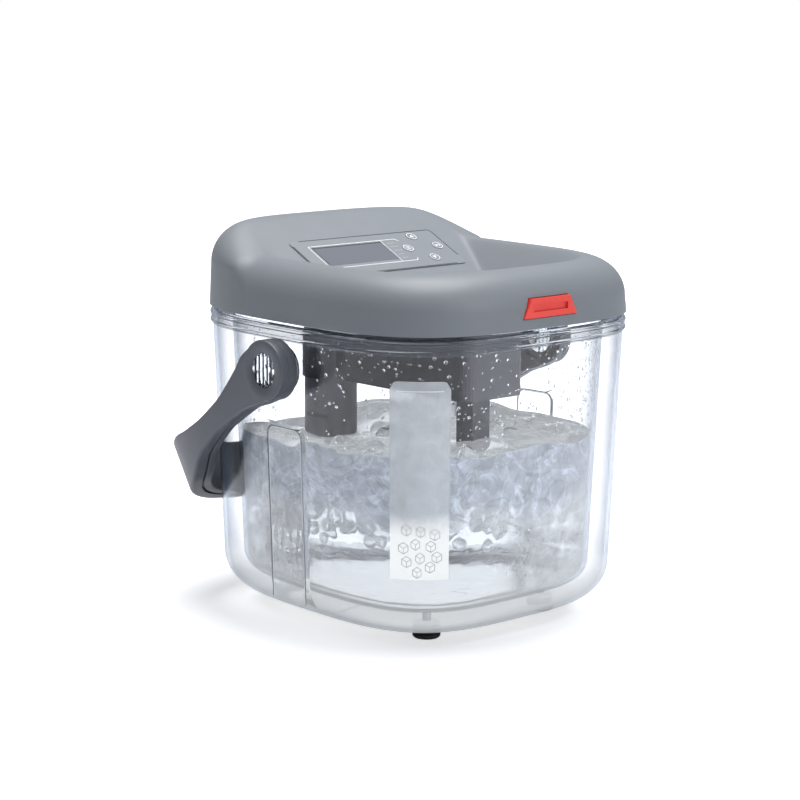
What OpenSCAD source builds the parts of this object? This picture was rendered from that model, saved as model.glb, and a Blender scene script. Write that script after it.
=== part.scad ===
// Cold and hot water therapy machine: a clear double-walled tank on rubber feet, a dark
// hinged lid with a sloping control panel, a pump column that hangs into the water, and a
// strap handle that swings on two clear bosses. Millimetres, +Z up, front towards -Y.

/* [Plan shape] */
// Width of the lid, side to side
lid_w = 230; // [205:1:255]
// Depth of the lid, front to back
lid_d = 249; // [225:1:275]
// Squareness of the rounded plan outline
plan_power = 3.36; // [2.9:0.02:4]

/* [Tank] */
// Height of the joint line between tank and lid
joint_z = 201.5; // [190:0.5:225]
// Height of the rubber feet
foot_h = 7.5; // [5:0.5:12]
// Radius of a foot
foot_r = 9; // [6:0.5:12]
// Thickness of the rubber pad under a foot
foot_pad = 2.8; // [1.5:0.1:4]
// Distance of each foot from the middle, side to side
foot_x = 51; // [40:1:60]
// Distance of each foot from the middle, front to back
foot_y = 68; // [55:1:75]
// Inward lean of the tank walls, in degrees
tank_draft = 2.1; // [1:0.1:3]
// Wall of the outer shell
outer_wall = 2.5; // [2:0.1:3.5]
// Wall of the inner shell
inner_wall = 2.2; // [1.6:0.1:3]
// Air space between the shells at the sides
shell_gap = 9; // [7:0.5:12]
// Air space under the inner shell
floor_gap = 10; // [8:0.5:14]
// Radius of the outer shell's bottom edge
bottom_r = 27; // [20:1:32]
// Height of the rim band below the joint line
band_h = 11.5; // [9:0.5:15]
// Width of the raised pad below each pivot
pad_w = 34; // [24:1:44]
// Height of the pad's top edge
pad_top = 134; // [110:1:145]
// Thickness of the pad
pad_t = 1.3; // [0.8:0.1:2]
// Width of the frosted level strip
strip_w = 39; // [34:1:46]
// Height of the strip's lower edge
strip_low = 46; // [42:1:60]
// Height of the strip's upper edge
strip_high = 172; // [140:1:180]

/* [Lid] */
// Wall of the lid cover
lid_wall = 3; // [2.4:0.1:4]
// Height of the front rim above the joint line
rim_rise = 35.5; // [30:0.5:42]
// Height of the hump above the joint line
hump_rise = 54.5; // [48:0.5:62]
// Width of the rounded rim, from the outside to its crest
rim_round = 24; // [18:1:30]
// Height of the basin floor above the joint line
basin_rise = 13.5; // [11:0.5:18]
// Slope of the control panel, in degrees
panel_slope = 26; // [20:1:30]
// Thickness of the plate that closes the lid from below
base_t = 3; // [2:0.5:4]
// Clearance around pieces that fit inside the lid
fit_gap = 0.4; // [0.2:0.1:0.6]

/* [Control panel] */
// Width of the panel overlay
panel_w = 126; // [116:1:134]
// Height of the panel overlay along its slope
panel_h = 44; // [40:1:48]
// Distance of the panel's middle behind the tank's middle
panel_y = 39; // [34:1:42]
// Width of the display window
lcd_w = 60; // [50:1:62]
// Height of the display window
lcd_h = 22; // [16:1:24]
// Radius of a key
key_r = 4; // [3:0.1:4.6]
// Distance from the middle of the key cross to each key
key_pitch = 13.4; // [12:0.1:14]
// Travel of a key
key_travel = 0.5; // [0.3:0.1:0.8]

/* [Handle] */
// Height of the pivot
pivot_z = 172; // [160:1:178]
// Radius of the clear pivot boss
boss_r = 10.95; // [8:0.05:12]
// Running clearance of the hub on its boss
hub_gap = 0.05; // [0.02:0.01:0.08]
// Radius of the hub
hub_r = 19.5; // [16:0.5:22]
// Thickness of the strap
strap_t = 13; // [11:0.2:15]
// Gap between the hub and the tank wall
hub_side_gap = 4.4; // [4:0.1:6]
// Distance from the pivot to the outside of the grip
grip_reach = 171; // [165:1:185]
// Width of the grip
grip_w = 37.6; // [30:0.2:42]
// Squareness of the strap's curve
strap_power = 3.74; // [3.2:0.02:4.2]
// Gap between the stored grip and the tank's back
rest_gap = 0.6; // [0.4:0.1:3]
// Depth of the groove where the two handle shells meet
groove = 1.4; // [0.6:0.1:2]

/* [Latch and hinge] */
// Width of the latch button at its lower edge
latch_w = 46; // [38:1:52]
// Height of the latch button
latch_h = 12; // [9:0.5:14]
// Travel of the latch button
latch_travel = 3; // [2:0.1:3.5]
// Radius of the hinge pin
pin_r = 2; // [1.5:0.1:2.5]
// Length of the hinge
hinge_w = 60; // [50:1:70]
// Radius of the hinge knuckles
knuckle_r = 4.6; // [4:0.1:5.5]

/* [Water circuit] */
// Width of the pump housing under the lid
housing_w = 53; // [48:1:60]
// Distance of the pump housing's middle from the tank's middle, side to side
housing_x = 9.5; // [4:0.5:14]
// Distance of the pump housing's front end from the lid's front edge
housing_front_gap = 58.5; // [52:0.5:68]
// Distance of the pump housing's back end from the lid's back edge
housing_back_gap = 27.5; // [26:0.5:34]
// Depth of the pump housing below the lid plate
housing_depth = 55; // [45:1:60]
// Wall of the pump housing
housing_wall = 2.2; // [1.6:0.1:3]
// Radius of the pump column
column_r = 17.5; // [16:0.5:20]
// Radius of the pump motor
motor_r = 12; // [10:0.5:12.5]
// Length of the pump motor
motor_l = 30; // [24:1:40]
// Radius of the impeller
impeller_r = 9; // [7:0.5:10]
// Bore radius of the water tubes
tube_bore = 3; // [2:0.1:3.5]
// Wall of the water tubes
tube_wall = 1.4; // [1:0.1:1.8]
// Bore radius of the two hose sockets
socket_bore = 4.2; // [3:0.1:5]
// Distance between the two hose sockets
socket_pitch = 17; // [16:0.5:20]
// Bore radius of the power socket
jack_bore = 2.8; // [2.4:0.1:3.2]

/* [Hidden] */
$fn = 48;
eps = 0.01;

// The box of the whole object is centred on the origin, so the tank's own axis lies forward of it
band_low = joint_z - band_h;
wall_inset = 1.8;
drift = tan(tank_draft);
edge_r = 2;
edge_cut = edge_r * (1 - cos(45));
grip_top = grip_w * 0.28;
grip_low = grip_w * 0.72;
stored_tilt = rest_angle(5, 60, 14);
handle_back = (grip_reach - edge_cut) * cos(stored_tilt) + (grip_top - edge_cut) * sin(stored_tilt);
latch_front = lid_d / 2 + 0.6;
axis_y = (latch_front - handle_back) / 2;

// The stored handle hangs as far down as the gap behind the tank lets it
function rest_room(t) = (grip_reach - strap_t) * cos(t) - (grip_low - 1) * sin(t) - rest_gap - lid_d / 2
    + wall_at(pivot_z - (grip_reach - strap_t) * sin(t) - (grip_low - 1) * cos(t), wall_inset, band_low);
function rest_angle(from, to, n) = n == 0 ? from
    : let (m = (from + to) / 2) rest_room(m) > 0 ? rest_angle(m, to, n - 1) : rest_angle(from, m, n - 1);

// Plan outlines: points on the rounded square that lies "inset" inside the lid's edge. On the
// tank two pairs of points on each side stand at the pad's edges, the others at even angles.
pad_edge = 0.8;
corner_step = 6;
function side_x(y, a, b) = a * pow(1 - pow(min(abs(y) / b, 1), plan_power), 1 / plan_power);
function signed_power(v, e) = sign(v) * pow(abs(v), e);
function corner(t, a, b) =
    [a * signed_power(cos(t), 2 / plan_power), b * signed_power(sin(t), 2 / plan_power)];
function pad_side(s, a, b, w, h) =
    [for (y = [-w - pad_edge, -w, w, w + pad_edge])
        [s * (side_x(y, a, b) + (abs(y) <= w ? h : 0)), s * y]];
function outline_ab(a, b, w, h) = concat(
    pad_side(1, a, b, w, h),
    [for (t = [corner_step:corner_step:180 - corner_step]) corner(t, a, b)],
    pad_side(-1, a, b, w, h),
    [for (t = [180 + corner_step:corner_step:360 - corner_step]) corner(t, a, b)]);
function outline(inset, w = pad_w / 2, h = 0) = outline_ab(lid_w / 2 - inset, lid_d / 2 - inset, w, h);
function level_ring(inset, z, w = pad_w / 2, h = 0) = [for (p = outline(inset, w, h)) [p.x, p.y, z]];

// On the lid the points are spread evenly along the edge
lid_steps = 18;
function even_angle(v) = 90 * pow(v, plan_power / 2) / (pow(v, plan_power / 2) + pow(1 - v, plan_power / 2));
function lid_outline(inset) = [for (q = [0:3], i = [0:lid_steps - 1])
    corner(90 * q + even_angle(i / lid_steps), lid_w / 2 - inset, lid_d / 2 - inset)];
function lid_ring(inset, z) = [for (p = lid_outline(inset)) [p.x, p.y, z]];

// A closed skin over a list of rings, each with as many points as the first, and a point in
// the middle of each end
module skin(rings, low_mid, high_mid) {
    n = len(rings[0]);
    m = len(rings);
    points = concat([for (r = rings) each r], [low_mid, high_mid]);
    sides = [for (i = [0:m - 2], j = [0:n - 1])
        let (k = (j + 1) % n)
        each [[i * n + j, (i + 1) * n + j, (i + 1) * n + k], [i * n + j, (i + 1) * n + k, i * n + k]]];
    low = [for (j = [0:n - 1]) [m * n, j, (j + 1) % n]];
    high = [for (j = [0:n - 1]) [m * n + 1, (m - 1) * n + (j + 1) % n, (m - 1) * n + j]];
    polyhedron(points, concat(sides, low, high), convexity = 8);
}

// A closed skin over stations along a path, with flat ends
module sweep(stations) {
    n = len(stations[0]);
    m = len(stations);
    sides = [for (i = [0:m - 2], j = [0:n - 1])
        let (k = (j + 1) % n)
        each [[i * n + j, i * n + k, (i + 1) * n + k], [i * n + j, (i + 1) * n + k, (i + 1) * n + j]]];
    first = [for (j = [1:n - 2]) [0, j + 1, j]];
    last = [for (j = [1:n - 2]) [(m - 1) * n, (m - 1) * n + j, (m - 1) * n + j + 1]];
    polyhedron([for (s = stations) each s], concat(sides, first, last), convexity = 8);
}

function arc_points(cx, cy, r, from, to, steps) =
    [for (i = [0:steps]) [cx + r * cos(from + (to - from) * i / steps),
                          cy + r * sin(from + (to - from) * i / steps)]];
function round_rect(w, d, r) = concat(
    arc_points(w / 2 - r, d / 2 - r, r, 0, 90, 6),
    arc_points(-w / 2 + r, d / 2 - r, r, 90, 180, 6),
    arc_points(-w / 2 + r, -d / 2 + r, r, 180, 270, 6),
    arc_points(w / 2 - r, -d / 2 + r, r, 270, 360, 6));

module plate(w, d, r, t) {
    linear_extrude(t) polygon(round_rect(w, d, r));
}

module tank_frame() {
    translate([0, axis_y, 0]) children();
}

// ---- Tank ----
flange_t = 2.5;
seal_t = 2.2;
tank_top = joint_z - flange_t - 0.7;
flange_top = tank_top + flange_t;
base_z = flange_top + seal_t;
band_inset = 0.8;
ridge_inset = 0.3;
inner_inset = wall_inset + outer_wall + shell_gap;
inner_floor = foot_h + outer_wall + floor_gap;
inner_r = bottom_r - shell_gap - outer_wall;
pad_corner = 7;

function wall_at(z, start, top) = start + (top - z) * drift;
function bowl(inset, z, r, steps) =
    [for (i = [0:steps]) let (a = 90 * i / steps) [inset + r * (1 - sin(a)), z + r * (1 - cos(a))]];
// Half width of the pad at a height: full, but rounded off at its two top corners
function pad_half(z) = pad_w / 2 - (z > pad_top - pad_corner
    ? pad_corner - sqrt(max(pow(pad_corner, 2) - pow(z - pad_top + pad_corner, 2), 0)) : 0);

outer_profile = concat(
    bowl(wall_at(foot_h + bottom_r, wall_inset, band_low), foot_h, bottom_r, 6),
    [for (z = [pad_top - pad_corner, pad_top - pad_corner * 0.5, pad_top - pad_corner * 0.14, pad_top])
        [wall_at(z, wall_inset, band_low), z]],
    [[wall_at(pad_top + pad_edge, wall_inset, band_low), pad_top + pad_edge],
     [wall_inset, band_low],
     [ridge_inset, band_low + 0.8], [ridge_inset, band_low + 2], [band_inset, band_low + 2.6],
     [band_inset, tank_top - 3], [ridge_inset, tank_top - 2.4], [ridge_inset, tank_top - 1.2],
     [band_inset, tank_top - 0.6], [band_inset, tank_top]]);
outer_hollow = concat(
    [[wall_inset + outer_wall, tank_top], [wall_inset + outer_wall, band_low]],
    [for (p = [for (i = [6:-1:0]) bowl(wall_at(foot_h + bottom_r, wall_inset, band_low) + outer_wall,
        foot_h + outer_wall, bottom_r - outer_wall, 6)[i]]) p]);

module outer_tank() {
    color([0.86, 0.9, 0.93, 0.35]) tank_frame()
        skin(concat(
                [for (p = outer_profile) p.y <= pad_top && p.y > foot_h + bottom_r * 0.3
                    ? level_ring(p.x, p.y, pad_half(p.y), pad_t)
                    : level_ring(p.x, p.y)],
                [for (p = outer_hollow) level_ring(p.x, p.y)]),
            [0, 0, foot_h], [0, 0, foot_h + outer_wall]);
}

flange_inset = 2.5;
flange_profile = [[inner_inset, tank_top], [flange_inset, tank_top], [flange_inset, flange_top],
    [inner_inset + inner_wall, flange_top]];

module inner_tank() {
    low = bowl(wall_at(inner_floor + inner_r, inner_inset, tank_top), inner_floor, inner_r, 5);
    in_r = inner_r - inner_wall;
    bowl_in = bowl(wall_at(inner_floor + inner_r, inner_inset, tank_top) + inner_wall,
        inner_floor + inner_wall, in_r, 5);
    color([0.8, 0.87, 0.92, 0.35]) tank_frame()
        skin(concat(
                [for (p = low) level_ring(p.x, p.y)],
                [for (p = flange_profile) level_ring(p.x, p.y)],
                [for (i = [5:-1:0]) level_ring(bowl_in[i].x, bowl_in[i].y)]),
            [0, 0, inner_floor], [0, 0, inner_floor + inner_wall]);
}

// The strip hugs the outside of the inner shell round its front left corner
strip_t = 1.2;
strip_round = 5;
strip_steps = 16;
strip_at = 227.6;
strip_gap = 0.3;
function strip_column(u) =
    let (h = strip_high - strip_round + sqrt(max(pow(strip_round, 2)
            - pow(max(abs(u) * strip_w / 2 - strip_w / 2 + strip_round, 0), 2), 0)))
    [for (c = [[strip_low, -strip_gap], [strip_low, -strip_gap - strip_t],
               [h, -strip_gap - strip_t], [h, -strip_gap]])
        let (inset = wall_at(c.x, inner_inset, tank_top) + c.y,
             a = lid_w / 2 - inset, b = lid_d / 2 - inset,
             side = strip_w / 2 * u,
             p = corner(strip_at + strip_angle(u), a, b))
        [p.x, p.y, c.x]];
// Angle on the outline at which the strip has reached a share u of its half width
function strip_angle(u) = 14.6 * strip_w / 39 * sign(u) * pow(abs(u), 1.05);

module level_strip() {
    color([0.9, 0.92, 0.93, 0.8]) tank_frame()
        sweep([for (i = [0:strip_steps]) strip_column(2 * i / strip_steps - 1)]);
}

module at_feet() {
    for (x = [-foot_x, foot_x], y = [-foot_y, foot_y])
        translate([x, y, 0]) children();
}

module rubber_feet() {
    color("#1c1d1f") tank_frame() at_feet()
        rotate_extrude() polygon([[0, 0], [foot_r - 1, 0], [foot_r, 1], [foot_r, foot_pad], [0, foot_pad]]);
}

// The clear part of each foot, between the shell's floor and the rubber pad
module foot_bosses() {
    color([0.85, 0.9, 0.93, 0.5]) tank_frame() at_feet() translate([0, 0, foot_pad])
        cylinder(r = foot_r - 0.6, h = foot_h - foot_pad);
}

stud_r = 2.6;
module foot_studs() {
    color("#3a3d42") tank_frame() at_feet()
        translate([0, 0, foot_h + outer_wall]) cylinder(r = stud_r, h = floor_gap - 0.3);
}

// Clear bosses that carry the handle: a foot on the wall, a shaft, and ribs across its end
wall_x = lid_w / 2 - wall_at(pivot_z, wall_inset, band_low);
boss_foot = 1.2;
hub_in = wall_x + hub_side_gap;
hub_out = hub_in + strap_t;
boss_foot_r = boss_r + 4;
boss_ribs = 5;
module pivot_bosses() {
    rib = boss_r * 2 / (boss_ribs * 2 + 1);
    color([0.85, 0.9, 0.93, 0.5]) tank_frame()
        for (s = [-1, 1]) translate([0, 0, pivot_z]) rotate([0, s * 90, 0]) {
            difference() {
                translate([0, 0, wall_x - boss_foot]) cylinder(r = boss_r, h = hub_out - 1 - wall_x + boss_foot);
                for (i = [0:boss_ribs - 1])
                    translate([-boss_r, (i - (boss_ribs - 1) / 2) * rib * 2 - rib / 2, hub_out - 5])
                        cube([boss_r * 2, rib, 5]);
            }
            translate([0, 0, wall_x - boss_foot]) cylinder(r = boss_foot_r, h = hub_side_gap + boss_foot - 0.4);
        }
}

// ---- Joint between tank and lid ----
seal_inset = 3.8;
seal_w = 2.8;
module ring_plate(out_inset, in_inset, t) {
    linear_extrude(t) difference() {
        polygon(lid_outline(out_inset));
        polygon(lid_outline(in_inset));
    }
}

module rim_seal() {
    color("#2a2c2f") tank_frame()
        translate([0, 0, flange_top]) ring_plate(seal_inset, seal_inset + seal_w, seal_t);
}

keeper_y = -lid_d / 2 + seal_inset + seal_w + 0.5;
keeper_w = 16;
keeper_lip = 5.5;
keeper_t = 1.8;
keeper_post = 2;
keeper_h = seal_t + 4;
module latch_keeper() {
    color("#b9bcc0") tank_frame() translate([-keeper_w / 2, keeper_y, flange_top]) {
        cube([keeper_w, keeper_post, keeper_h]);
        translate([0, 0, keeper_h - keeper_t]) cube([keeper_w, keeper_lip, keeper_t]);
    }
}

pin_y = lid_d / 2 + knuckle_r + 0.4;
pin_z = joint_z;
ear_w = 9;
knuckle_w = hinge_w - 2 * ear_w - 2 * fit_gap;
leaf_t = 2;
module along_hinge(x, w, r) {
    translate([x, pin_y, pin_z]) rotate([0, 90, 0]) cylinder(r = r, h = w);
}

module hinge_bracket() {
    color("#4a4e54") tank_frame() difference() {
        union() {
            translate([-hinge_w / 2, lid_d / 2, band_low + 1]) cube([hinge_w, leaf_t, tank_top - band_low - 1.5]);
            for (x = [-hinge_w / 2, hinge_w / 2 - ear_w]) {
                along_hinge(x, ear_w, knuckle_r);
                translate([x, lid_d / 2, band_low + 1]) cube([ear_w, pin_y - lid_d / 2, tank_top - band_low - 1.5]);
            }
        }
        along_hinge(-hinge_w, hinge_w * 2, pin_r);
        for (x = [-hinge_w / 5, hinge_w / 5])
            translate([x, lid_d / 2 + leaf_t + 1, (band_low + tank_top) / 2]) rotate([90, 0, 0])
                cylinder(r = 1.5, h = leaf_t + 2);
    }
}

module hinge_pin() {
    color("#c9ccd0") tank_frame() along_hinge(-hinge_w / 2 - 0.5, hinge_w + 1, pin_r - hub_gap);
}

module hinge_screws() {
    color("#9a9da2") tank_frame()
        for (x = [-hinge_w / 5, hinge_w / 5])
            translate([x, lid_d / 2 + leaf_t, (band_low + tank_top) / 2]) rotate([90, 0, 0]) {
                cylinder(r = 1.45, h = leaf_t);
                translate([0, 0, -1]) cylinder(r = 2.4, h = 1);
            }
}

module hinge_knuckle() {
    color("#53575d") tank_frame() difference() {
        union() {
            along_hinge(-knuckle_w / 2, knuckle_w, knuckle_r);
            translate([-knuckle_w / 2, lid_d / 2 + 0.1, pin_z]) cube([knuckle_w, leaf_t, knuckle_r + 5]);
            translate([-knuckle_w / 2, lid_d / 2 + 0.1, pin_z]) cube([knuckle_w, knuckle_r, knuckle_r * 0.7]);
        }
        along_hinge(-hinge_w, hinge_w * 2, pin_r);
        at_knuckle_screws() cylinder(r = 1.5, h = leaf_t + 2);
    }
}

module at_knuckle_screws() {
    for (x = [-hinge_w / 5, hinge_w / 5])
        translate([x, lid_d / 2 + leaf_t + 1, pin_z + knuckle_r + 2.6]) rotate([90, 0, 0]) children();
}

module knuckle_screws() {
    color("#9a9da2") tank_frame() at_knuckle_screws() {
        cylinder(r = 1.45, h = leaf_t + 0.9);
        translate([0, 0, -0.1]) cylinder(r = 2.4, h = 1);
    }
}

// ---- Lid ----
rim_z = joint_z + rim_rise;
hump_z = joint_z + hump_rise;
basin_z = joint_z + basin_rise;
side_lean = 1;
crest_inset = side_lean + rim_round;
rim_wall_h = 10.5;
hump_wall_h = 27.5;
blend_from = 38;
blend_to = 54;
wall_slope = 0.93;
panel_z = joint_z + 31.1;

function smooth(v) = v <= 0 ? 0 : v >= 1 ? 1 : v * v * (3 - 2 * v);
function soft_max(a, b, k) = (a + b + sqrt((a - b) * (a - b) + k * k)) / 2;
function soft_min(a, b, k) = (a + b - sqrt((a - b) * (a - b) + k * k)) / 2;
function slope_z(y) = panel_z + (y - panel_y) * tan(panel_slope);
function crest_z(y) = soft_min(soft_max(rim_z, slope_z(y), 2), hump_z + 0.3, 2);
function side_wall_z(y) =
    joint_z + rim_wall_h + (hump_wall_h - rim_wall_h) * smooth((y - blend_from) / (blend_to - blend_from));
// Height of the lid's top over a point that lies "inset" inside the edge, within the crest
function top_z(y, inset) = soft_min(
    soft_max(max(rim_z - (inset - crest_inset) * wall_slope, basin_z), slope_z(y),
        max(2 - (inset - crest_inset) * 0.2, 0)),
    hump_z + 0.3, 2);

round_steps = 6;
top_insets = [27, 30, 34, 38, 42, 46, 50, 55, 60, 66, 72, 79, 86, 94, 101, 107];
function side_ring(u, t) = [for (p = lid_outline(side_lean + rim_round * (1 - cos(90 * u)) + t * cos(90 * u)))
    let (low = side_wall_z(p.y)) [p.x, p.y, low + (crest_z(p.y) - low) * sin(90 * u) - t * sin(90 * u)]];
function top_ring(inset, t) = [for (p = lid_outline(inset)) [p.x, p.y, top_z(p.y, inset) - t]];
function top_list() = [for (i = top_insets) crest_inset + (i - 25) * (lid_w / 2 - 8 - crest_inset) / 82];
function shell_half(t) = concat(
    [for (i = [0:round_steps]) side_ring(i / round_steps, t)],
    [for (k = top_list()) top_ring(k, t)]);

// The cover: a rounded shell with a shelf all round inside it, which the lid's base is screwed to
shelf_in = 15;
shelf_h = 4.4;
module cover_skin() {
    outside = concat([lid_ring(0, joint_z)], shell_half(0));
    inside = concat([lid_ring(lid_wall, joint_z), lid_ring(lid_wall, base_top), lid_ring(shelf_in, base_top),
        lid_ring(shelf_in, base_top + shelf_h), lid_ring(lid_wall + side_lean, base_top + shelf_h + 0.3)],
        shell_half(lid_wall));
    last = len(inside) - 1;
    skin(concat([for (i = [last:-1:0]) inside[i]], outside),
        [0, 0, top_z(0, lid_w / 2) - lid_wall], [0, 0, top_z(0, lid_w / 2)]);
}

module panel_frame() {
    translate([panel_cx, panel_y, panel_z]) rotate([panel_slope, 0, 0]) children();
}

panel_cx = 1;
under = -lid_wall * cos(panel_slope);
window_w = panel_w - 4;
window_h = panel_h - 3;
latch_z = joint_z + 13;
latch_face = lid_d / 2 + 0.1;
latch_lean = 6 / 12;

module latch_shape(grow) {
    low = latch_w / 2 + grow;
    top = latch_w / 2 - latch_h * latch_lean + grow;
    half = latch_h / 2 + grow;
    polygon([[-low, -half], [low, -half], [top, half], [-top, half]]);
}

module lid_cover() {
    color("#6b7076") tank_frame() difference() {
        cover_skin();
        panel_frame() translate([-window_w / 2, -window_h / 2, -lid_wall - 4])
            cube([window_w, window_h, lid_wall + 8]);
        translate([0, -lid_d / 2 + 8, latch_z]) rotate([90, 0, 0]) linear_extrude(12) latch_shape(fit_gap);
        translate([-pocket_w / 2, -lid_d / 2 + lid_wall + 0.2, base_top - 1])
            cube([pocket_w, shelf_in, shelf_h + 2]);
        translate([socket_x - socket_w / 2 - fit_gap, lid_d / 2 - 8, socket_z - socket_h / 2 - fit_gap])
            cube([socket_w + 2 * fit_gap, 12, socket_h + 2 * fit_gap]);
        for (p = ring_spots(screw_inset, screw_angles))
            translate([p.x, p.y, base_top - 1]) cylinder(r = screw_r, h = 4.6);
        translate([jack_x, lid_d / 2 + 4, socket_z]) rotate([90, 0, 0]) cylinder(r = jack_r + fit_gap, h = 14);
    }
}

base_inset = lid_wall + fit_gap;
notch_w = keeper_w + 4;
hole_w = housing_w - 2 * housing_wall;
housing_front = -lid_d / 2 + housing_front_gap;
housing_back = lid_d / 2 - housing_back_gap;
housing_d = housing_back - housing_front;
housing_y = (housing_back + housing_front) / 2;
housing_round = 9;
base_top = base_z + base_t;
function ring_spots(inset, angles) =
    [for (t = angles) corner(t, lid_w / 2 - inset, lid_d / 2 - inset)];
screw_angles = [30, 60, 120, 150, 210, 240, 300, 330];
screw_inset = 11;
screw_r = 1.6;
pocket_w = latch_w + 10;

module lid_base() {
    color("#54585e") tank_frame() difference() {
        union() {
            translate([0, 0, base_z]) linear_extrude(base_t) polygon(lid_outline(base_inset));
        }
        translate([housing_x, housing_y, base_z - 1])
            plate(hole_w, housing_d - 2 * housing_wall, housing_round - housing_wall, base_t + 2);
        translate([-notch_w / 2, keeper_y - 0.8, base_z - 1]) cube([notch_w, 13 + latch_travel, base_t + 2]);
        for (p = ring_spots(screw_inset, screw_angles))
            translate([p.x, p.y, base_z - 1]) cylinder(r = screw_r, h = base_t + 2);
    }
}

module lid_screws() {
    color("#9a9da2") tank_frame()
        for (p = ring_spots(screw_inset, screw_angles)) translate([p.x, p.y, base_z]) {
            cylinder(r = screw_r - 0.05, h = base_t + 3.4);
            translate([0, 0, -0.8]) cylinder(r = 2.8, h = 0.8);
        }
}

// ---- Water circuit under the lid ----
column_x = housing_x - column_r;
column_y = housing_back - column_r - 2.5;
housing_z = base_z - housing_depth;
column_cap = 6;
column_room = 46;
motor_top = housing_z - column_room - column_cap;
motor_low = motor_top - motor_l;
volute_h = 16;
volute_low = motor_low - volute_h;
// The cage ends above the rounded edge of the inner floor
strainer_lift = 2.4;
strainer_h = volute_low - (inner_floor + inner_wall) - strainer_lift;
volute_r = column_r + 1;
column_wall = 2;
tube_r = tube_bore + tube_wall;
lip = 4;

module pump_housing() {
    color("#3f454d") tank_frame() difference() {
        union() {
            translate([housing_x, housing_y, housing_z]) plate(housing_w, housing_d, housing_round, housing_depth);
            at_column(housing_z) cylinder(r = column_r + 1.5, h = housing_depth);
            translate([housing_x, housing_y, base_z - 2.5])
                plate(housing_w + 2 * lip, housing_d + 2 * lip, housing_round + lip, 2.5);
        }
        translate([housing_x, housing_y, housing_z + housing_wall])
            plate(hole_w, housing_d - 2 * housing_wall, housing_round - housing_wall, housing_depth);
        for (p = [[column_x, column_y], [return_x, return_y], [riser_x, riser_y]])
            translate([p.x, p.y, housing_z - 1]) cylinder(r = tube_r + fit_gap, h = housing_wall + 2);
    }
}

module at_column(z) {
    translate([column_x, column_y, z]) children();
}

// The column: a tower with a collar below the housing, open at its foot for the motor
module pump_column() {
    color("#4b5566") tank_frame() difference() {
        at_column(motor_low) cylinder(r = column_r, h = housing_z - motor_low);
        at_column(motor_low - 1) cylinder(r = motor_r + 0.3, h = motor_l + 1);
        at_column(motor_top - 1) cylinder(r = column_r - column_wall, h = column_room);
        at_column(motor_top) cylinder(r = tube_r + fit_gap, h = column_room + column_cap + 8);
    }
}

shaft_r = 1;
shaft_gap = 0.04;
impeller_h = 7;
impeller_z = volute_low + 4;
module pump_motor() {
    color("#8d9299") tank_frame() difference() {
        union() {
            at_column(motor_low) cylinder(r = motor_r, h = motor_l);
            at_column(motor_low - 1.2) cylinder(r = 4, h = 1.2);
        }
        at_column(motor_low - 2) cylinder(r = shaft_r + shaft_gap, h = 14);
    }
}

// The supply tube rises behind the column, as far back as the housing lets it
bend_r = 7;
riser_x = column_x + column_r + 10;
riser_y = housing_back - housing_wall - tube_r - 0.6;
spout_end = riser_x - bend_r - column_x;

// Pump chamber: an eye below for the intake, and a spout that leaves it at a tangent
spout_z = volute_low + volute_h / 2 - 0.5;
module at_spout() {
    translate([column_x, riser_y, spout_z]) rotate([0, 90, 0]) children();
}
module pump_volute() {
    color("#40464f") tank_frame() difference() {
        union() {
            at_column(volute_low) cylinder(r = volute_r, h = volute_h);
            at_spout() cylinder(r = tube_r, h = spout_end);
        }
        at_column(volute_low + 2) cylinder(r = impeller_r + 2.5, h = volute_h);
        at_column(volute_low - 1) cylinder(r = 4, h = 4);
        at_spout() cylinder(r = tube_bore, h = spout_end + 1);
    }
}

module impeller() {
    color("#d8dade") tank_frame() {
        at_column(impeller_z) cylinder(r = 3, h = impeller_h);
        at_column(impeller_z) cylinder(r = shaft_r, h = motor_low - impeller_z + 10);
        at_column(impeller_z) cylinder(r = impeller_r, h = 1.2);
        for (a = [0:60:300])
            at_column(impeller_z) rotate([0, 0, a]) translate([2.5, -0.6, 0])
                cube([impeller_r - 3.2, 1.2, impeller_h]);
    }
}

// A cage of bars between two rings, standing on the inner floor
strainer_bars = 16;
module intake_strainer() {
    z = volute_low - strainer_h;
    color("#2f343b") tank_frame() {
        for (h = [0, strainer_h - 1.5]) at_column(z + h) difference() {
            cylinder(r = volute_r, h = 1.5);
            translate([0, 0, -1]) cylinder(r = volute_r - 4, h = 4);
        }
        for (i = [0:strainer_bars - 1])
            at_column(z) rotate([0, 0, i * 360 / strainer_bars]) translate([volute_r - 3, -0.8, 0])
                cube([2, 1.6, strainer_h]);
    }
}

// Lengths of tube and quarter bends between them; every bend stands on the end of a length
module ring_2d() {
    difference() {
        circle(r = tube_r);
        circle(r = tube_bore);
    }
}
module length_up(l) {
    linear_extrude(l) ring_2d();
}
module bend() {
    rotate_extrude(angle = 90) translate([bend_r, 0]) ring_2d();
}
// A length along +Y, and one along +X
module length_back(l) {
    rotate([-90, 0, 0]) length_up(l);
}
module length_right(l) {
    rotate([0, 90, 0]) length_up(l);
}
// Bends in the plane of Y and Z: from up to back, from back to up, from up to forward
module bend_up_back() {
    translate([0, bend_r, 0]) rotate([90, 180, 90]) mirror([0, 1, 0]) bend();
}
module bend_back_up() {
    translate([0, 0, bend_r]) rotate([90, 0, 90]) mirror([0, 1, 0]) bend();
}
module bend_up_forward() {
    translate([0, -bend_r, 0]) rotate([90, 0, 90]) bend();
}

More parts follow.
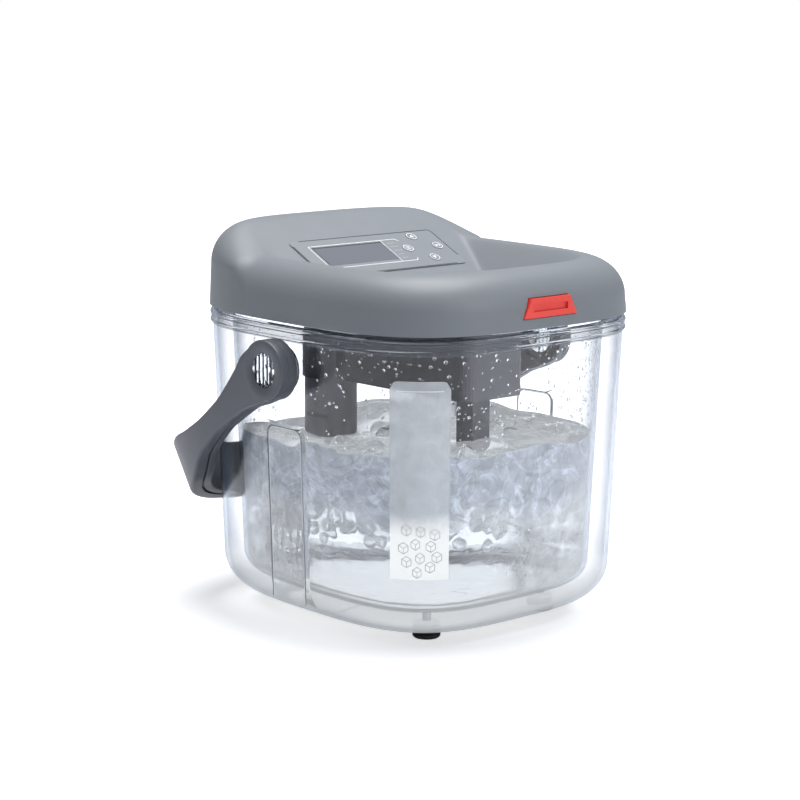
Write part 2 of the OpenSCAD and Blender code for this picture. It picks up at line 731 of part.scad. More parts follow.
heater_z = housing_z + housing_wall;
heater_y = housing_y + 18.5;
heater_w = 27;
heater_l = 26;
heater_h = 16;
socket_w = 34;
socket_h = 13;
socket_z = joint_z + 18;
socket_depth = 16;
socket_face = lid_d / 2 + 3;
jack_r = 5;
return_x = riser_x - socket_pitch;
return_y = housing_front + 14;
socket_x = riser_x - socket_pitch / 2;
jack_x = socket_x + socket_w / 2 + 21;
run_z = base_z - 8;
rise_y = column_y - 6;
stub_y = socket_face - socket_depth;

// From the pump's spout up beside the column, through the housing floor and back to the heater
module supply_tube() {
    top = heater_z + heater_h / 2;
    color([0.85, 0.87, 0.88]) tank_frame() {
        translate([riser_x - bend_r, riser_y, spout_z + bend_r]) rotate([90, 0, 0]) mirror([0, 1, 0]) bend();
        translate([riser_x, riser_y, spout_z + bend_r]) length_up(top - spout_z - 2 * bend_r);
        translate([riser_x, riser_y, top - bend_r]) bend_up_forward();
        translate([riser_x, heater_y + heater_l / 2, top])
            length_back(riser_y - bend_r - heater_y - heater_l / 2);
    }
}

module heater_block() {
    color("#b7bbc0") tank_frame() difference() {
        translate([riser_x - heater_w / 2, heater_y - heater_l / 2, heater_z]) cube([heater_w, heater_l, heater_h]);
        translate([riser_x, heater_y - heater_l, heater_z + heater_h / 2]) rotate([-90, 0, 0])
            cylinder(r = tube_bore, h = 2 * heater_l);
    }
}

// From a height inside the housing, back under the base and up to a hose socket
module climb(x) {
    translate([x, rise_y, run_z]) bend_back_up();
    translate([x, rise_y + bend_r, run_z + bend_r]) length_up(socket_z - run_z - 2 * bend_r);
    translate([x, rise_y + bend_r, socket_z - bend_r]) bend_up_back();
    translate([x, rise_y + 2 * bend_r, socket_z]) length_back(stub_y - rise_y - 2 * bend_r);
}

// From the heater's front, up, back under the base and out to its hose socket
module feed_tube() {
    low = heater_z + heater_h / 2;
    front = heater_y - heater_l / 2;
    color([0.85, 0.87, 0.88]) tank_frame() {
        translate([riser_x, front - 1, low]) length_back(1);
        translate([riser_x, front - 1, low + bend_r]) rotate([90, 0, -90]) mirror([0, 1, 0]) bend();
        translate([riser_x, front - 1 - bend_r, low + bend_r]) length_up(run_z - low - 2 * bend_r);
        translate([riser_x, front - 1 - bend_r, run_z - bend_r]) bend_up_back();
        translate([riser_x, front - 1, run_z]) length_back(rise_y - front + 1);
        climb(riser_x);
    }
}

// From the other hose socket forward to the pipe that lets the water back into the tank
module return_tube() {
    color([0.85, 0.87, 0.88]) tank_frame() {
        translate([return_x, return_y, housing_z + 1]) length_up(run_z - bend_r - housing_z - 1);
        translate([return_x, return_y, run_z - bend_r]) bend_up_back();
        translate([return_x, return_y + bend_r, run_z]) length_back(rise_y - return_y - bend_r);
        climb(return_x);
    }
}

return_w = 15;
return_low = 96;
module return_pipe() {
    color("#566070") tank_frame() difference() {
        translate([return_x - return_w / 2, return_y - return_w / 2, return_low])
            cube([return_w, return_w, housing_z - return_low]);
        translate([return_x, return_y, return_low - 1]) cylinder(r = tube_bore, h = housing_z);
    }
}

module temperature_probe() {
    color("#c4c7cb") tank_frame() translate([housing_x + 8, return_y + 30, 0]) {
        translate([0, 0, housing_z - 18]) cylinder(r = 2.2, h = 18);
        translate([0, 0, housing_z - 3]) cylinder(r = 5, h = 3);
    }
}

// Two hose sockets side by side in one block, and their back stubs
module hose_sockets() {
    color("#3b3f45") tank_frame() difference() {
        translate([socket_x - socket_w / 2, stub_y, socket_z - socket_h / 2])
            cube([socket_w, socket_depth, socket_h]);
        for (x = [return_x, riser_x]) {
            translate([x, socket_face + 1, socket_z]) rotate([90, 0, 0])
                cylinder(r = socket_bore, h = socket_depth - 2);
            translate([x, socket_face, socket_z]) rotate([90, 0, 0])
                cylinder(r = tube_bore, h = socket_depth + 1);
        }
    }
}

module power_socket() {
    color("#2b2e32") tank_frame() difference() {
        union() {
            translate([jack_x, lid_d / 2 + 0.5, socket_z]) rotate([90, 0, 0]) cylinder(r = jack_r, h = 14);
            translate([jack_x, lid_d / 2 + 1.5, socket_z]) rotate([90, 0, 0]) cylinder(r = jack_r + 2, h = 1.4);
        }
        translate([jack_x, lid_d / 2 + 2, socket_z]) rotate([90, 0, 0]) cylinder(r = jack_bore, h = 11);
    }
}

// ---- Control panel ----
overlay_t = 0.6;
key_cx = panel_w / 2 - 22.1;
key_cy = 1.5;
lcd_cx = 43.5 - panel_w / 2;
lcd_cy = 1.2;
board_t = 1.6;
board_low = under - 7.9;
key_spots = [[0, key_pitch], [0, -key_pitch], [-key_pitch, 0], [key_pitch, 0]];
key_flange_t = 1.2;
switch_h = 3.2;

module at_key(i) {
    panel_frame() translate([key_cx + key_spots[i].x, key_cy + key_spots[i].y, 0]) children();
}

module panel_overlay() {
    color("#5f646a") tank_frame() difference() {
        panel_frame() plate(panel_w, panel_h, 4, overlay_t);
        panel_frame() translate([lcd_cx - lcd_w / 2 - 0.15, lcd_cy - lcd_h / 2 - 0.15, -1])
            cube([lcd_w + 0.3, lcd_h + 0.3, 3]);
        for (i = [0:3]) at_key(i) translate([0, 0, -1]) cylinder(r = key_r + 0.2, h = 3);
    }
}

module display_window() {
    color([0.45, 0.47, 0.5, 0.7]) tank_frame() panel_frame()
        translate([lcd_cx - lcd_w / 2, lcd_cy - lcd_h / 2, -0.6]) cube([lcd_w, lcd_h, overlay_t + 0.6]);
}

module display_module() {
    color("#33363b") tank_frame() panel_frame()
        translate([lcd_cx - lcd_w / 2 - 2, lcd_cy - lcd_h / 2 - 2, board_low])
            cube([lcd_w + 4, lcd_h + 4, -0.6 - board_low]);
}

// A frame that holds the board below the cover's underside
carrier_gap = 0.15;
module panel_carrier() {
    color("#2f3237") tank_frame() panel_frame() translate([0, 0, board_low])
        linear_extrude(under - carrier_gap - board_low) difference() {
            polygon(round_rect(window_w + 4, window_h + 4, 3));
            polygon(round_rect(window_w, window_h, 2));
        }
}

module control_board() {
    color("#2f6b46") tank_frame() panel_frame() translate([0, 0, board_low - board_t])
        plate(window_w + 4, window_h + 4, 2, board_t);
}

module key_switches() {
    color("#c9c4b4") tank_frame() for (i = [0:3]) at_key(i) {
        translate([-3, -3, board_low]) cube([6, 6, switch_h]);
        translate([0, 0, board_low + switch_h]) cylinder(r = 1.6, h = 0.8);
    }
}

// A key: its cap stands just above the overlay, its flange is trapped below, its stem ends
// just above the switch
module key(i) {
    low = board_low + switch_h + 0.8 + key_travel + 0.1;
    color("#6f747a") tank_frame() at_key(i) {
        translate([0, 0, -0.3 - key_flange_t]) cylinder(r = key_r, h = key_flange_t + overlay_t + 0.6);
        translate([0, 0, -0.3 - key_flange_t]) cylinder(r = key_r + 1, h = key_flange_t);
        translate([0, 0, low]) cylinder(r = 1.4, h = -0.3 - low);
    }
}

module key_up() {
    key(0);
}
module key_down() {
    key(1);
}
module key_mode() {
    key(2);
}
module key_run() {
    key(3);
}

// ---- Latch ----
flange_y = -lid_d / 2 + 5.6;
core_back = keeper_y + 8.2;
hook_y = keeper_y + keeper_lip + 0.7;
hook_z = flange_top + 1.8;
guide_back = core_back + 9;
button_low = latch_z - latch_h / 2;
module latch_button() {
    color("#e8423a") tank_frame() {
        difference() {
            translate([0, flange_y, latch_z]) rotate([90, 0, 0])
                linear_extrude(latch_face + flange_y) latch_shape(0);
            translate([-15, -latch_face - 1, latch_z - 2.2]) cube([30, 2.6, 4.4]);
        }
        translate([-latch_w / 2 - 1, flange_y, button_low + 0.2]) cube([latch_w + 2, 1.6, latch_h - 3.5]);
        translate([-10, flange_y, button_low + 0.2]) cube([20, core_back - flange_y, 5]);
        translate([-keeper_w / 2 + 2, hook_y, hook_z])
            cube([keeper_w - 4, core_back - hook_y, button_low + 0.3 - hook_z]);
        translate([-keeper_w / 2 + 2, hook_y - 2.9, hook_z]) cube([keeper_w - 4, 3, keeper_h - keeper_t - 2.1]);
    }
}

// A tray on the lid plate that the button slides in, with a wall behind for the spring
module latch_guide() {
    half = latch_w / 2 + 1 + fit_gap;
    color("#474b51") tank_frame() {
        for (s = [-1, 1])
            translate([s > 0 ? half : -half - 2, flange_y, base_top]) cube([2, guide_back - flange_y, 10]);
        translate([-half - 2, guide_back, base_top]) cube([2 * half + 4, 2, 10]);
    }
}

// A folded leaf spring between the button and the wall behind it
spring_folds = 6;
spring_w = 7;
leaf = 0.5;
module latch_spring() {
    length = guide_back - core_back;
    step = (length - leaf) / spring_folds;
    color("#c9ccd0") tank_frame() translate([0, core_back, button_low + 0.4])
        for (i = [0:spring_folds - 1]) let (s = i % 2 == 0 ? -1 : 1)
            linear_extrude(4.6) polygon([
                [s * spring_w / 2, i * step], [-s * spring_w / 2, (i + 1) * step],
                [-s * spring_w / 2, (i + 1) * step + leaf], [s * spring_w / 2, i * step + leaf]]);
}

// ---- Handle ----
arm_top = [[0, hub_r * 0.98], [13, hub_r * 0.95], [27, 13.5], [40, 9.3], [56, 5.4], [82, 3.6],
    [104, 5.2], [131, grip_top * 0.92], [grip_reach, grip_top]];
arm_low = [[0, hub_r * 0.98], [16, hub_r * 0.86], [34, 13], [62, 12.4], [85, 14.6], [100, 17.5],
    [112, 22.5], [124, grip_low * 0.94], [grip_reach, grip_low]];
strap_steps = 24;
arm_start = 0.007;
hub_mid = strap_t * 0.52;
groove_t = 1.3;

// The strap's path: u runs 0 at the left hub, 1 at the grip's middle and 2 at the right hub
function strap_xy(u, depth) =
    let (v = u <= 1 ? u : 2 - u, t = 90 * pow(v, strap_power / 2), s = u <= 1 ? -1 : 1)
    [s * (hub_out - depth) * pow(cos(t), 2 / strap_power),
     (grip_reach - depth) * pow(sin(t), 2 / strap_power)];
// One section of the strap. The profile lists depths from the outside in, each with how far
// the edge is cut back there; the upper edge mirrors the lower one.
function station(u, profile) =
    let (y = strap_xy(u, 0).y, low = -lookup(y, arm_low), top = lookup(y, arm_top), n = len(profile))
    concat(
        [for (p = profile) let (q = strap_xy(u, p[0])) [q.x, q.y, low + p[1]]],
        [for (i = [n - 1:-1:0]) let (q = strap_xy(u, profile[i][0])) [q.x, q.y, top - profile[i][1]]]);
function strap_stations(profile) =
    [for (i = [0:2 * strap_steps]) station(arm_start + (2 - 2 * arm_start) * i / (2 * strap_steps), profile)];

module handle_frame() {
    translate([0, 0, pivot_z]) rotate([-stored_tilt, 0, 0]) children();
}

module hub(from, to) {
    for (s = [-1, 1]) rotate([0, s * 90, 0]) translate([0, 0, hub_out - to]) cylinder(r = hub_r, h = to - from);
}

module hub_bores() {
    for (s = [-1, 1]) rotate([0, s * 90, 0]) {
        translate([0, 0, hub_in - 1]) cylinder(r = boss_r + hub_gap, h = strap_t + 2);
        translate([0, 0, hub_out - 1.2]) cylinder(r1 = boss_r + hub_gap, r2 = boss_r + hub_gap + 2, h = 1.3);
    }
}

module handle_outer() {
    color("#4c5058") tank_frame() handle_frame() difference() {
        union() {
            sweep(strap_stations([[0, edge_r], [edge_cut, edge_cut], [edge_r, 0], [hub_mid, 0]]));
            hub(0, hub_mid);
        }
        hub_bores();
    }
}

module handle_inner() {
    color("#43474f") tank_frame() handle_frame() difference() {
        union() {
            sweep(strap_stations([[hub_mid, groove], [hub_mid + groove_t, groove], [hub_mid + groove_t, 0],
                [strap_t - 1, 0], [strap_t, 1]]));
            hub(hub_mid, strap_t);
        }
        hub_bores();
    }
}

screw_reach = [44, 66];
module handle_screws() {
    color("#9a9da2") tank_frame() handle_frame()
        for (s = [-1, 1], d = screw_reach)
            translate([s * (strap_inside(d) - 1.05), d, -4]) rotate([0, s * 90, 0])
                cylinder(r = 2.2, h = 0.9);
}
// Distance of the strap's inner face from the middle, at a distance d from the pivot
function strap_inside(d) =
    (hub_out - strap_t) * pow(1 - pow(d / (grip_reach - strap_t), strap_power), 1 / strap_power);

outer_tank();
inner_tank();
level_strip();
rubber_feet();
foot_bosses();
foot_studs();
pivot_bosses();
rim_seal();
latch_keeper();
hinge_bracket();
hinge_pin();
hinge_screws();
lid_cover();
lid_base();
lid_screws();
hinge_knuckle();
knuckle_screws();
pump_housing();
pump_column();
intake_strainer();
pump_volute();
pump_motor();
supply_tube();
feed_tube();
return_pipe();
return_tube();
heater_block();
temperature_probe();
hose_sockets();
power_socket();
panel_overlay();
display_window();
display_module();
panel_carrier();
control_board();
key_switches();
latch_guide();
latch_spring();
latch_button();
key_up();
key_down();
key_mode();
key_run();
impeller();
handle_outer();
handle_inner();
handle_screws();
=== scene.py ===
# %% [markdown]
# # A cold therapy machine, from solids to a studio picture
# The imported CAD model comes in as a fixed frame, and this lesson dresses it. Shapes that are
# right stay as they are and only get a material. The big smooth shells, the water, the ice, the
# small printed marks and a few fine lines of painted shade and highlight are made here, in the
# same frame and in the same place.

# %% Load the frame
import math
import random
import bmesh
import bpy
import numpy as np
from mathutils import Matrix, Vector


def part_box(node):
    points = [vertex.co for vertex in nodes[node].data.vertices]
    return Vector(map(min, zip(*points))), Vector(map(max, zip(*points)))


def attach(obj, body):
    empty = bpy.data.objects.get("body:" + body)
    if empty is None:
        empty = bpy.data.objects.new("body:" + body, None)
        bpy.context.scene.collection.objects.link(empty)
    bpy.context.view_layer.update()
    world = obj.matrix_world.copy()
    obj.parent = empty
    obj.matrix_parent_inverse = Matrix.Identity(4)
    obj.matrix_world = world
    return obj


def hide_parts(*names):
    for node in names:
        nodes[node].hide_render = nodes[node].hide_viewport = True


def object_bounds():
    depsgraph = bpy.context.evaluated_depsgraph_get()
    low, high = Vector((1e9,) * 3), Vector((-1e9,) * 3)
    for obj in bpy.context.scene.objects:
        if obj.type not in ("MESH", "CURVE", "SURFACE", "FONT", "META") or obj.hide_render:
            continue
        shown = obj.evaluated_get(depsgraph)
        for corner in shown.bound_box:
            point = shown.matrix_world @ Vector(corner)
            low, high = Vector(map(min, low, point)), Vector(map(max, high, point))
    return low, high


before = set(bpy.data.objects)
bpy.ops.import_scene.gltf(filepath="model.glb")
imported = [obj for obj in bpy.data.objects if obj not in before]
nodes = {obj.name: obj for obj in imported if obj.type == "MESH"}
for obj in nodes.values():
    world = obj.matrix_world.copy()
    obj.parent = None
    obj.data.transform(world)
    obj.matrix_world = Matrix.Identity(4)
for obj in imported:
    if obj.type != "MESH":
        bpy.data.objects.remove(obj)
before = [list(map(float, v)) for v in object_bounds()]
print("nodes:", len(nodes))

# %% [markdown]
# ## Sizes
# The tank's own axis lies a little forward of the frame's origin, because the stored handle
# reaches out behind. `AY` is that shift, read from the pivots. All sizes below are millimetres
# about the tank's axis, with the floor at zero, and `to_m` turns them into the frame's metres.

# %% Sizes
low, high = (np.array(v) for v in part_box("pivot_bosses"))
AY = float(low[1] + high[1]) / 2
PIVOT_Z = float(low[2] + high[2]) * 500
W, D, POWER = 230.0, 249.0, 3.36
JOINT = 201.5
BAND = JOINT - 11.5
FOOT = 7.5
DRIFT = math.tan(math.radians(2.1))
PAD_W, PAD_TOP, PAD_T, PAD_R = 34.0, 134.0, 1.3, 7.0
print("tank axis at y =", round(AY, 5), "pivot height", round(PIVOT_Z, 2))


def to_m(p):
    return (p[0] / 1000, p[1] / 1000 + AY, p[2] / 1000)


def wall_at(z, start, top):
    return start + (top - z) * DRIFT


def sign_power(v, e):
    return math.copysign(abs(v) ** e, v)


def corner(deg, a, b, n=POWER):
    t = math.radians(deg)
    return a * sign_power(math.cos(t), 2 / n), b * sign_power(math.sin(t), 2 / n)


def even_angle(v, n=POWER):
    p, q = v ** (n / 2), (1 - v) ** (n / 2)
    return 90 * p / (p + q)


def loop(inset, steps):
    """Points spread evenly round the rounded square that lies inset inside the lid's edge."""
    return [corner(90 * q + even_angle(i / steps), W / 2 - inset, D / 2 - inset)
            for q in range(4) for i in range(steps)]


# %% [markdown]
# ## Mesh helpers
# A shell is a list of rings with the same number of points. `skin` joins them, `smooth` shades
# them and keeps an edge crisp where two faces meet at more than the given angle.

# %% Mesh helpers
def mesh_object(name, points, faces):
    mesh = bpy.data.meshes.new(name)
    mesh.from_pydata([to_m(p) for p in points], [], faces)
    mesh.validate()
    obj = bpy.data.objects.new(name, mesh)
    bpy.context.collection.objects.link(obj)
    return obj


def face_outwards(obj):
    bm = bmesh.new()
    bm.from_mesh(obj.data)
    bmesh.ops.recalc_face_normals(bm, faces=bm.faces)
    bm.to_mesh(obj.data)
    bm.free()
    return obj


def skin(name, rings):
    n = len(rings[0])
    points = [p for ring in rings for p in ring]
    faces = [(i * n + j, i * n + (j + 1) % n, (i + 1) * n + (j + 1) % n, (i + 1) * n + j)
             for i in range(len(rings) - 1) for j in range(n)]
    faces += [tuple(reversed(range(n))), tuple(range((len(rings) - 1) * n, len(rings) * n))]
    return face_outwards(mesh_object(name, points, faces))


def smooth(obj, deg=35):
    bm = bmesh.new()
    bm.from_mesh(obj.data)
    limit = math.radians(deg)
    for f in bm.faces:
        f.smooth = True
    for e in bm.edges:
        e.smooth = not (len(e.link_faces) == 2 and e.calc_face_angle(0) > limit)
    bm.to_mesh(obj.data)
    bm.free()
    return obj


def bake(obj):
    """Applies the modifiers, so that the piece is a plain mesh."""
    graph = bpy.context.evaluated_depsgraph_get()
    mesh = bpy.data.meshes.new_from_object(obj.evaluated_get(graph))
    obj.modifiers.clear()
    obj.data = mesh
    return obj


def combine(obj, other, how="DIFFERENCE"):
    mod = obj.modifiers.new("cut", "BOOLEAN")
    mod.operation, mod.object, mod.solver = how, other, "EXACT"
    bake(obj)
    bpy.data.objects.remove(other)
    return obj


def box_object(name, lo, hi):
    (x0, y0, z0), (x1, y1, z1) = lo, hi
    points = [(x, y, z) for z in (z0, z1) for y in (y0, y1) for x in (x0, x1)]
    faces = [(0, 2, 3, 1), (4, 5, 7, 6), (0, 1, 5, 4), (2, 6, 7, 3), (0, 4, 6, 2), (1, 3, 7, 5)]
    return mesh_object(name, points, faces)


def lathe(name, profile, centre, axis, steps=64):
    """A turned solid: the profile lists (radius, distance along the axis)."""
    turn = Vector((0, 0, 1)).rotation_difference(Vector(axis)).to_matrix()
    rings = []
    for r, h in profile:
        r, angles = max(r, 0.001), [2 * math.pi * i / steps for i in range(steps)]
        spots = [turn @ Vector((r * math.cos(a), r * math.sin(a), h)) for a in angles]
        rings.append([(centre[0] + v.x, centre[1] + v.y, centre[2] + v.z) for v in spots])
    return skin(name, rings)


print("helpers ready")


# %% [markdown]
# ## Materials
# Every material is built from nodes. `plastic` mixes two close tones with noise, lets the
# roughness wander a little and adds a fine moulded grain as a bump, and with `front` the sides
# that face the front are lighter, as if a window lit them. `clear` is a glass that lets
# the light of the studio through in straight lines, so the tank is bright inside. `veil` lays
# a milky layer on it, which only a direct view shows, so that reflections stay calm. Where
# that layer glows, it is painted light.

# %% Materials
def new_material(name):
    mat = bpy.data.materials.new(name)
    mat.use_nodes = True
    tree = mat.node_tree
    tree.nodes.clear()
    tree.nodes.new("ShaderNodeOutputMaterial")
    return mat, tree


def feed(tree, socket, value):
    """Links an input to another socket, or sets it to a number or a colour."""
    if isinstance(value, bpy.types.NodeSocket):
        tree.links.new(value, socket)
    elif value is not None:
        socket.default_value = (*value, 1) if socket.type == "RGBA" else value


def node(tree, kind, **values):
    made = tree.nodes.new(kind)
    for key, value in values.items():
        if key in made.inputs:
            feed(tree, made.inputs[key], value)
        else:
            setattr(made, key, value)
    return made


def noise(tree, scale, detail=3.0, stretch=None, twist=0.0):
    place = node(tree, "ShaderNodeTexCoord").outputs["Object"]
    if stretch:
        place = node(tree, "ShaderNodeMapping", Vector=place, Scale=stretch).outputs["Vector"]
    made = node(tree, "ShaderNodeTexNoise", Vector=place, Scale=scale, Detail=detail, Distortion=twist)
    return made.outputs["Fac"]


def ramp(tree, source, lo, hi, start=0.0, stop=1.0, how="LINEAR"):
    """Goes from lo to hi while the source goes from start to stop."""
    values = {"Value": source, "From Min": start, "From Max": stop, "To Min": lo, "To Max": hi}
    return node(tree, "ShaderNodeMapRange", interpolation_type=how, **values).outputs["Result"]


def maths(tree, operation, a, b=None):
    made = node(tree, "ShaderNodeMath", operation=operation)
    feed(tree, made.inputs[0], a)
    feed(tree, made.inputs[1], b)
    return made.outputs["Value"]


def product(tree, *factors):
    made = factors[0]
    for factor in factors[1:]:
        made = maths(tree, "MULTIPLY", made, factor)
    return made


def mix_shaders(tree, share, under, over):
    made = node(tree, "ShaderNodeMixShader", Fac=share)
    feed(tree, made.inputs[1], under)
    feed(tree, made.inputs[2], over)
    return made.outputs["Shader"]


def mix_colours(tree, share, a, b, how="MIX"):
    made = node(tree, "ShaderNodeMix", data_type="RGBA", blend_type=how)
    feed(tree, made.inputs[0], share)
    for end, value in zip([s for s in made.inputs if s.type == "RGBA"], (a, b)):
        feed(tree, end, value)
    return [s for s in made.outputs if s.type == "RGBA"][0]


def facing(tree, axis, kind="Normal"):
    """How far a surface faces along an axis, from -1 to 1."""
    shape = node(tree, "ShaderNodeNewGeometry").outputs[kind]
    return node(tree, "ShaderNodeSeparateXYZ", Vector=shape).outputs[axis]


def output_of(tree):
    return [n for n in tree.nodes if n.type == "OUTPUT_MATERIAL"][0].inputs["Surface"]


def plastic(name, colour, rough=0.42, grain=2500.0, depth=0.05, spread=0.06, metal=0.0, coat=0.0,
            stretch=None, shine=0.5, front=None):
    mat, tree = new_material(name)
    tone = mix_colours(tree, noise(tree, 35, 5), [c * (1 - spread) for c in colour],
                       [min(c * (1 + spread), 1) for c in colour])
    if front:
        tone = mix_colours(tree, ramp(tree, facing(tree, "Y"), 1, 0, -1, -0.3), tone, front)
    bump = node(tree, "ShaderNodeBump", Strength=depth, Distance=0.0004,
                Height=noise(tree, grain, 2, stretch))
    values = {"Base Color": tone, "Metallic": metal, "Specular IOR Level": shine, "Coat Weight": coat,
              "Roughness": ramp(tree, noise(tree, 90, 4), rough - 0.05, rough + 0.05),
              "Normal": bump.outputs["Normal"]}
    feed(tree, output_of(tree), node(tree, "ShaderNodeBsdfPrincipled", **values).outputs["BSDF"])
    return mat


def clear(name, tint, ior=1.46, rough=0.0, wave=0.0, wave_scale=20.0, cloud=0.0, through=0.9, rim=0.0):
    """Glass. With wave its surface is uneven, with cloud it is milky in places, and with rim it
    darkens where it is seen edge on. Shadow rays pass it straight and keep the share through."""
    mat, tree = new_material(name)
    values = {"Base Color": tint, "IOR": ior, "Transmission Weight": 1.0,
              "Roughness": ramp(tree, noise(tree, 60, 3), rough, rough + 0.02)}
    if wave:
        bump = node(tree, "ShaderNodeBump", Strength=wave, Distance=0.002,
                    Height=noise(tree, wave_scale, 3))
        values["Normal"] = bump.outputs["Normal"]
    surface = node(tree, "ShaderNodeBsdfPrincipled", **values).outputs["BSDF"]
    if cloud:
        milky = node(tree, "ShaderNodeBsdfDiffuse", Color=(0.9, 0.93, 0.95)).outputs["BSDF"]
        surface = mix_shaders(tree, ramp(tree, noise(tree, 55, 4), 0, 2 * cloud), surface, milky)
    if rim:
        edge = node(tree, "ShaderNodeBsdfTransparent", Color=(0.66, 0.7, 0.76)).outputs["BSDF"]
        grazing = node(tree, "ShaderNodeLayerWeight", Blend=0.5).outputs["Facing"]
        surface = mix_shaders(tree, ramp(tree, grazing, 0, rim, 0.45, 0.92), surface, edge)
    path = node(tree, "ShaderNodeLightPath").outputs
    unseen = maths(tree, "MAXIMUM", path["Is Shadow Ray"], path["Is Diffuse Ray"])
    straight = node(tree, "ShaderNodeBsdfTransparent", Color=(through, through, through)).outputs["BSDF"]
    feed(tree, output_of(tree), mix_shaders(tree, unseen, surface, straight))
    return mat


def height_share(tree, z0, z1, sway, scale):
    """0 below z0 and 1 above z1 (metres), with a noisy border."""
    place = node(tree, "ShaderNodeTexCoord").outputs["Object"]
    height = node(tree, "ShaderNodeSeparateXYZ", Vector=place).outputs["Z"]
    height = maths(tree, "ADD", height, ramp(tree, noise(tree, scale, 6), -sway, sway))
    return ramp(tree, height, 0, 1, z0, z1, "SMOOTHSTEP")


def direct_view(tree):
    """1 for what the camera sees, straight or through clear pieces, and 0 after a reflection on
    the shells. What reflects deep inside the water still counts as seen."""
    path = node(tree, "ShaderNodeLightPath").outputs
    seen = maths(tree, "MAXIMUM", path["Is Camera Ray"], path["Is Transmission Ray"])
    first = maths(tree, "LESS_THAN", path["Glossy Depth"], 0.5)
    deep = maths(tree, "GREATER_THAN", path["Transmission Depth"], 8.5)
    return product(tree, seen, maths(tree, "MAXIMUM", first, deep))


def beside(tree, near, far, d0, d1):
    """near at the tank's front corner, far on both sides of it, d0 to d1 metres across."""
    along = node(tree, "ShaderNodeVectorMath", operation="DOT_PRODUCT")
    feed(tree, along.inputs[0], node(tree, "ShaderNodeTexCoord").outputs["Object"])
    feed(tree, along.inputs[1], (0.747, -0.665, 0))
    return ramp(tree, maths(tree, "ABSOLUTE", along.outputs["Value"]), near, far, d0, d1)


def veil(mat, low, high, low_colour, high_colour, z0, z1, sway=0.03, scale=18.0, sides=None, top=1.0,
         streaks=0.0, lit=0.0):
    """Lays a milky layer over a clear material: its share is low below z0 and high above z1.
    With sides the low part is milkier towards the sides of the view, painted light and shade
    that keeps the middle clearer, and top thins what faces upwards. With lit the layer glows
    in its low part, and on its top if that is thinned: painted light, for the light that comes
    through from behind and falls on the top."""
    tree = mat.node_tree
    below = output_of(tree).links[0].from_socket
    share = height_share(tree, z0, z1, sway, scale)
    streak = ramp(tree, noise(tree, 48, 10, (1, 1, 1.5), 1.6), 1 - streaks, 1 + streaks, 0.35, 0.65)
    for grid, twist, light in ((22, 2.2, 1.8), (17, 2.8, -1.4), (40, 1.5, 1)):
        away = maths(tree, "ABSOLUTE", maths(tree, "SUBTRACT", noise(tree, grid, 4, None, twist), 0.5))
        streak = product(tree, streak, ramp(tree, away, 1 + light * streaks, 1, 0, 0.03))
    tone = mix_colours(tree, 1.0, mix_colours(tree, share, low_colour, high_colour), streak, "MULTIPLY")
    layer = node(tree, "ShaderNodeBsdfDiffuse", Color=tone).outputs["BSDF"]
    upward = facing(tree, "Z", "True Normal")
    # Painted light: the layer glows in its low part, and on its top when the top is thinned.
    if lit:
        glow = node(tree, "ShaderNodeEmission", Color=(0.95, 0.98, 1), Strength=lit).outputs["Emission"]
        where = ramp(tree, share, 0.45 if top < 1 else 1, 0)
        if top < 1:
            where = maths(tree, "MAXIMUM", ramp(tree, upward, 0, 1, 0.3, 0.8), where)
        layer = mix_shaders(tree, where, layer, glow)
    amount = ramp(tree, share, beside(tree, low, sides, 0.03, 0.09) if sides else low, high)
    level = ramp(tree, upward, 1.0, top, 0.3, 0.8)
    patches = ramp(tree, noise(tree, 85, 7, None, 1.2), 1 - streaks, 1.0, 0.35, 0.6)
    amount = product(tree, amount, direct_view(tree), level, patches)
    feed(tree, output_of(tree), mix_shaders(tree, amount, below, layer))
    return mat


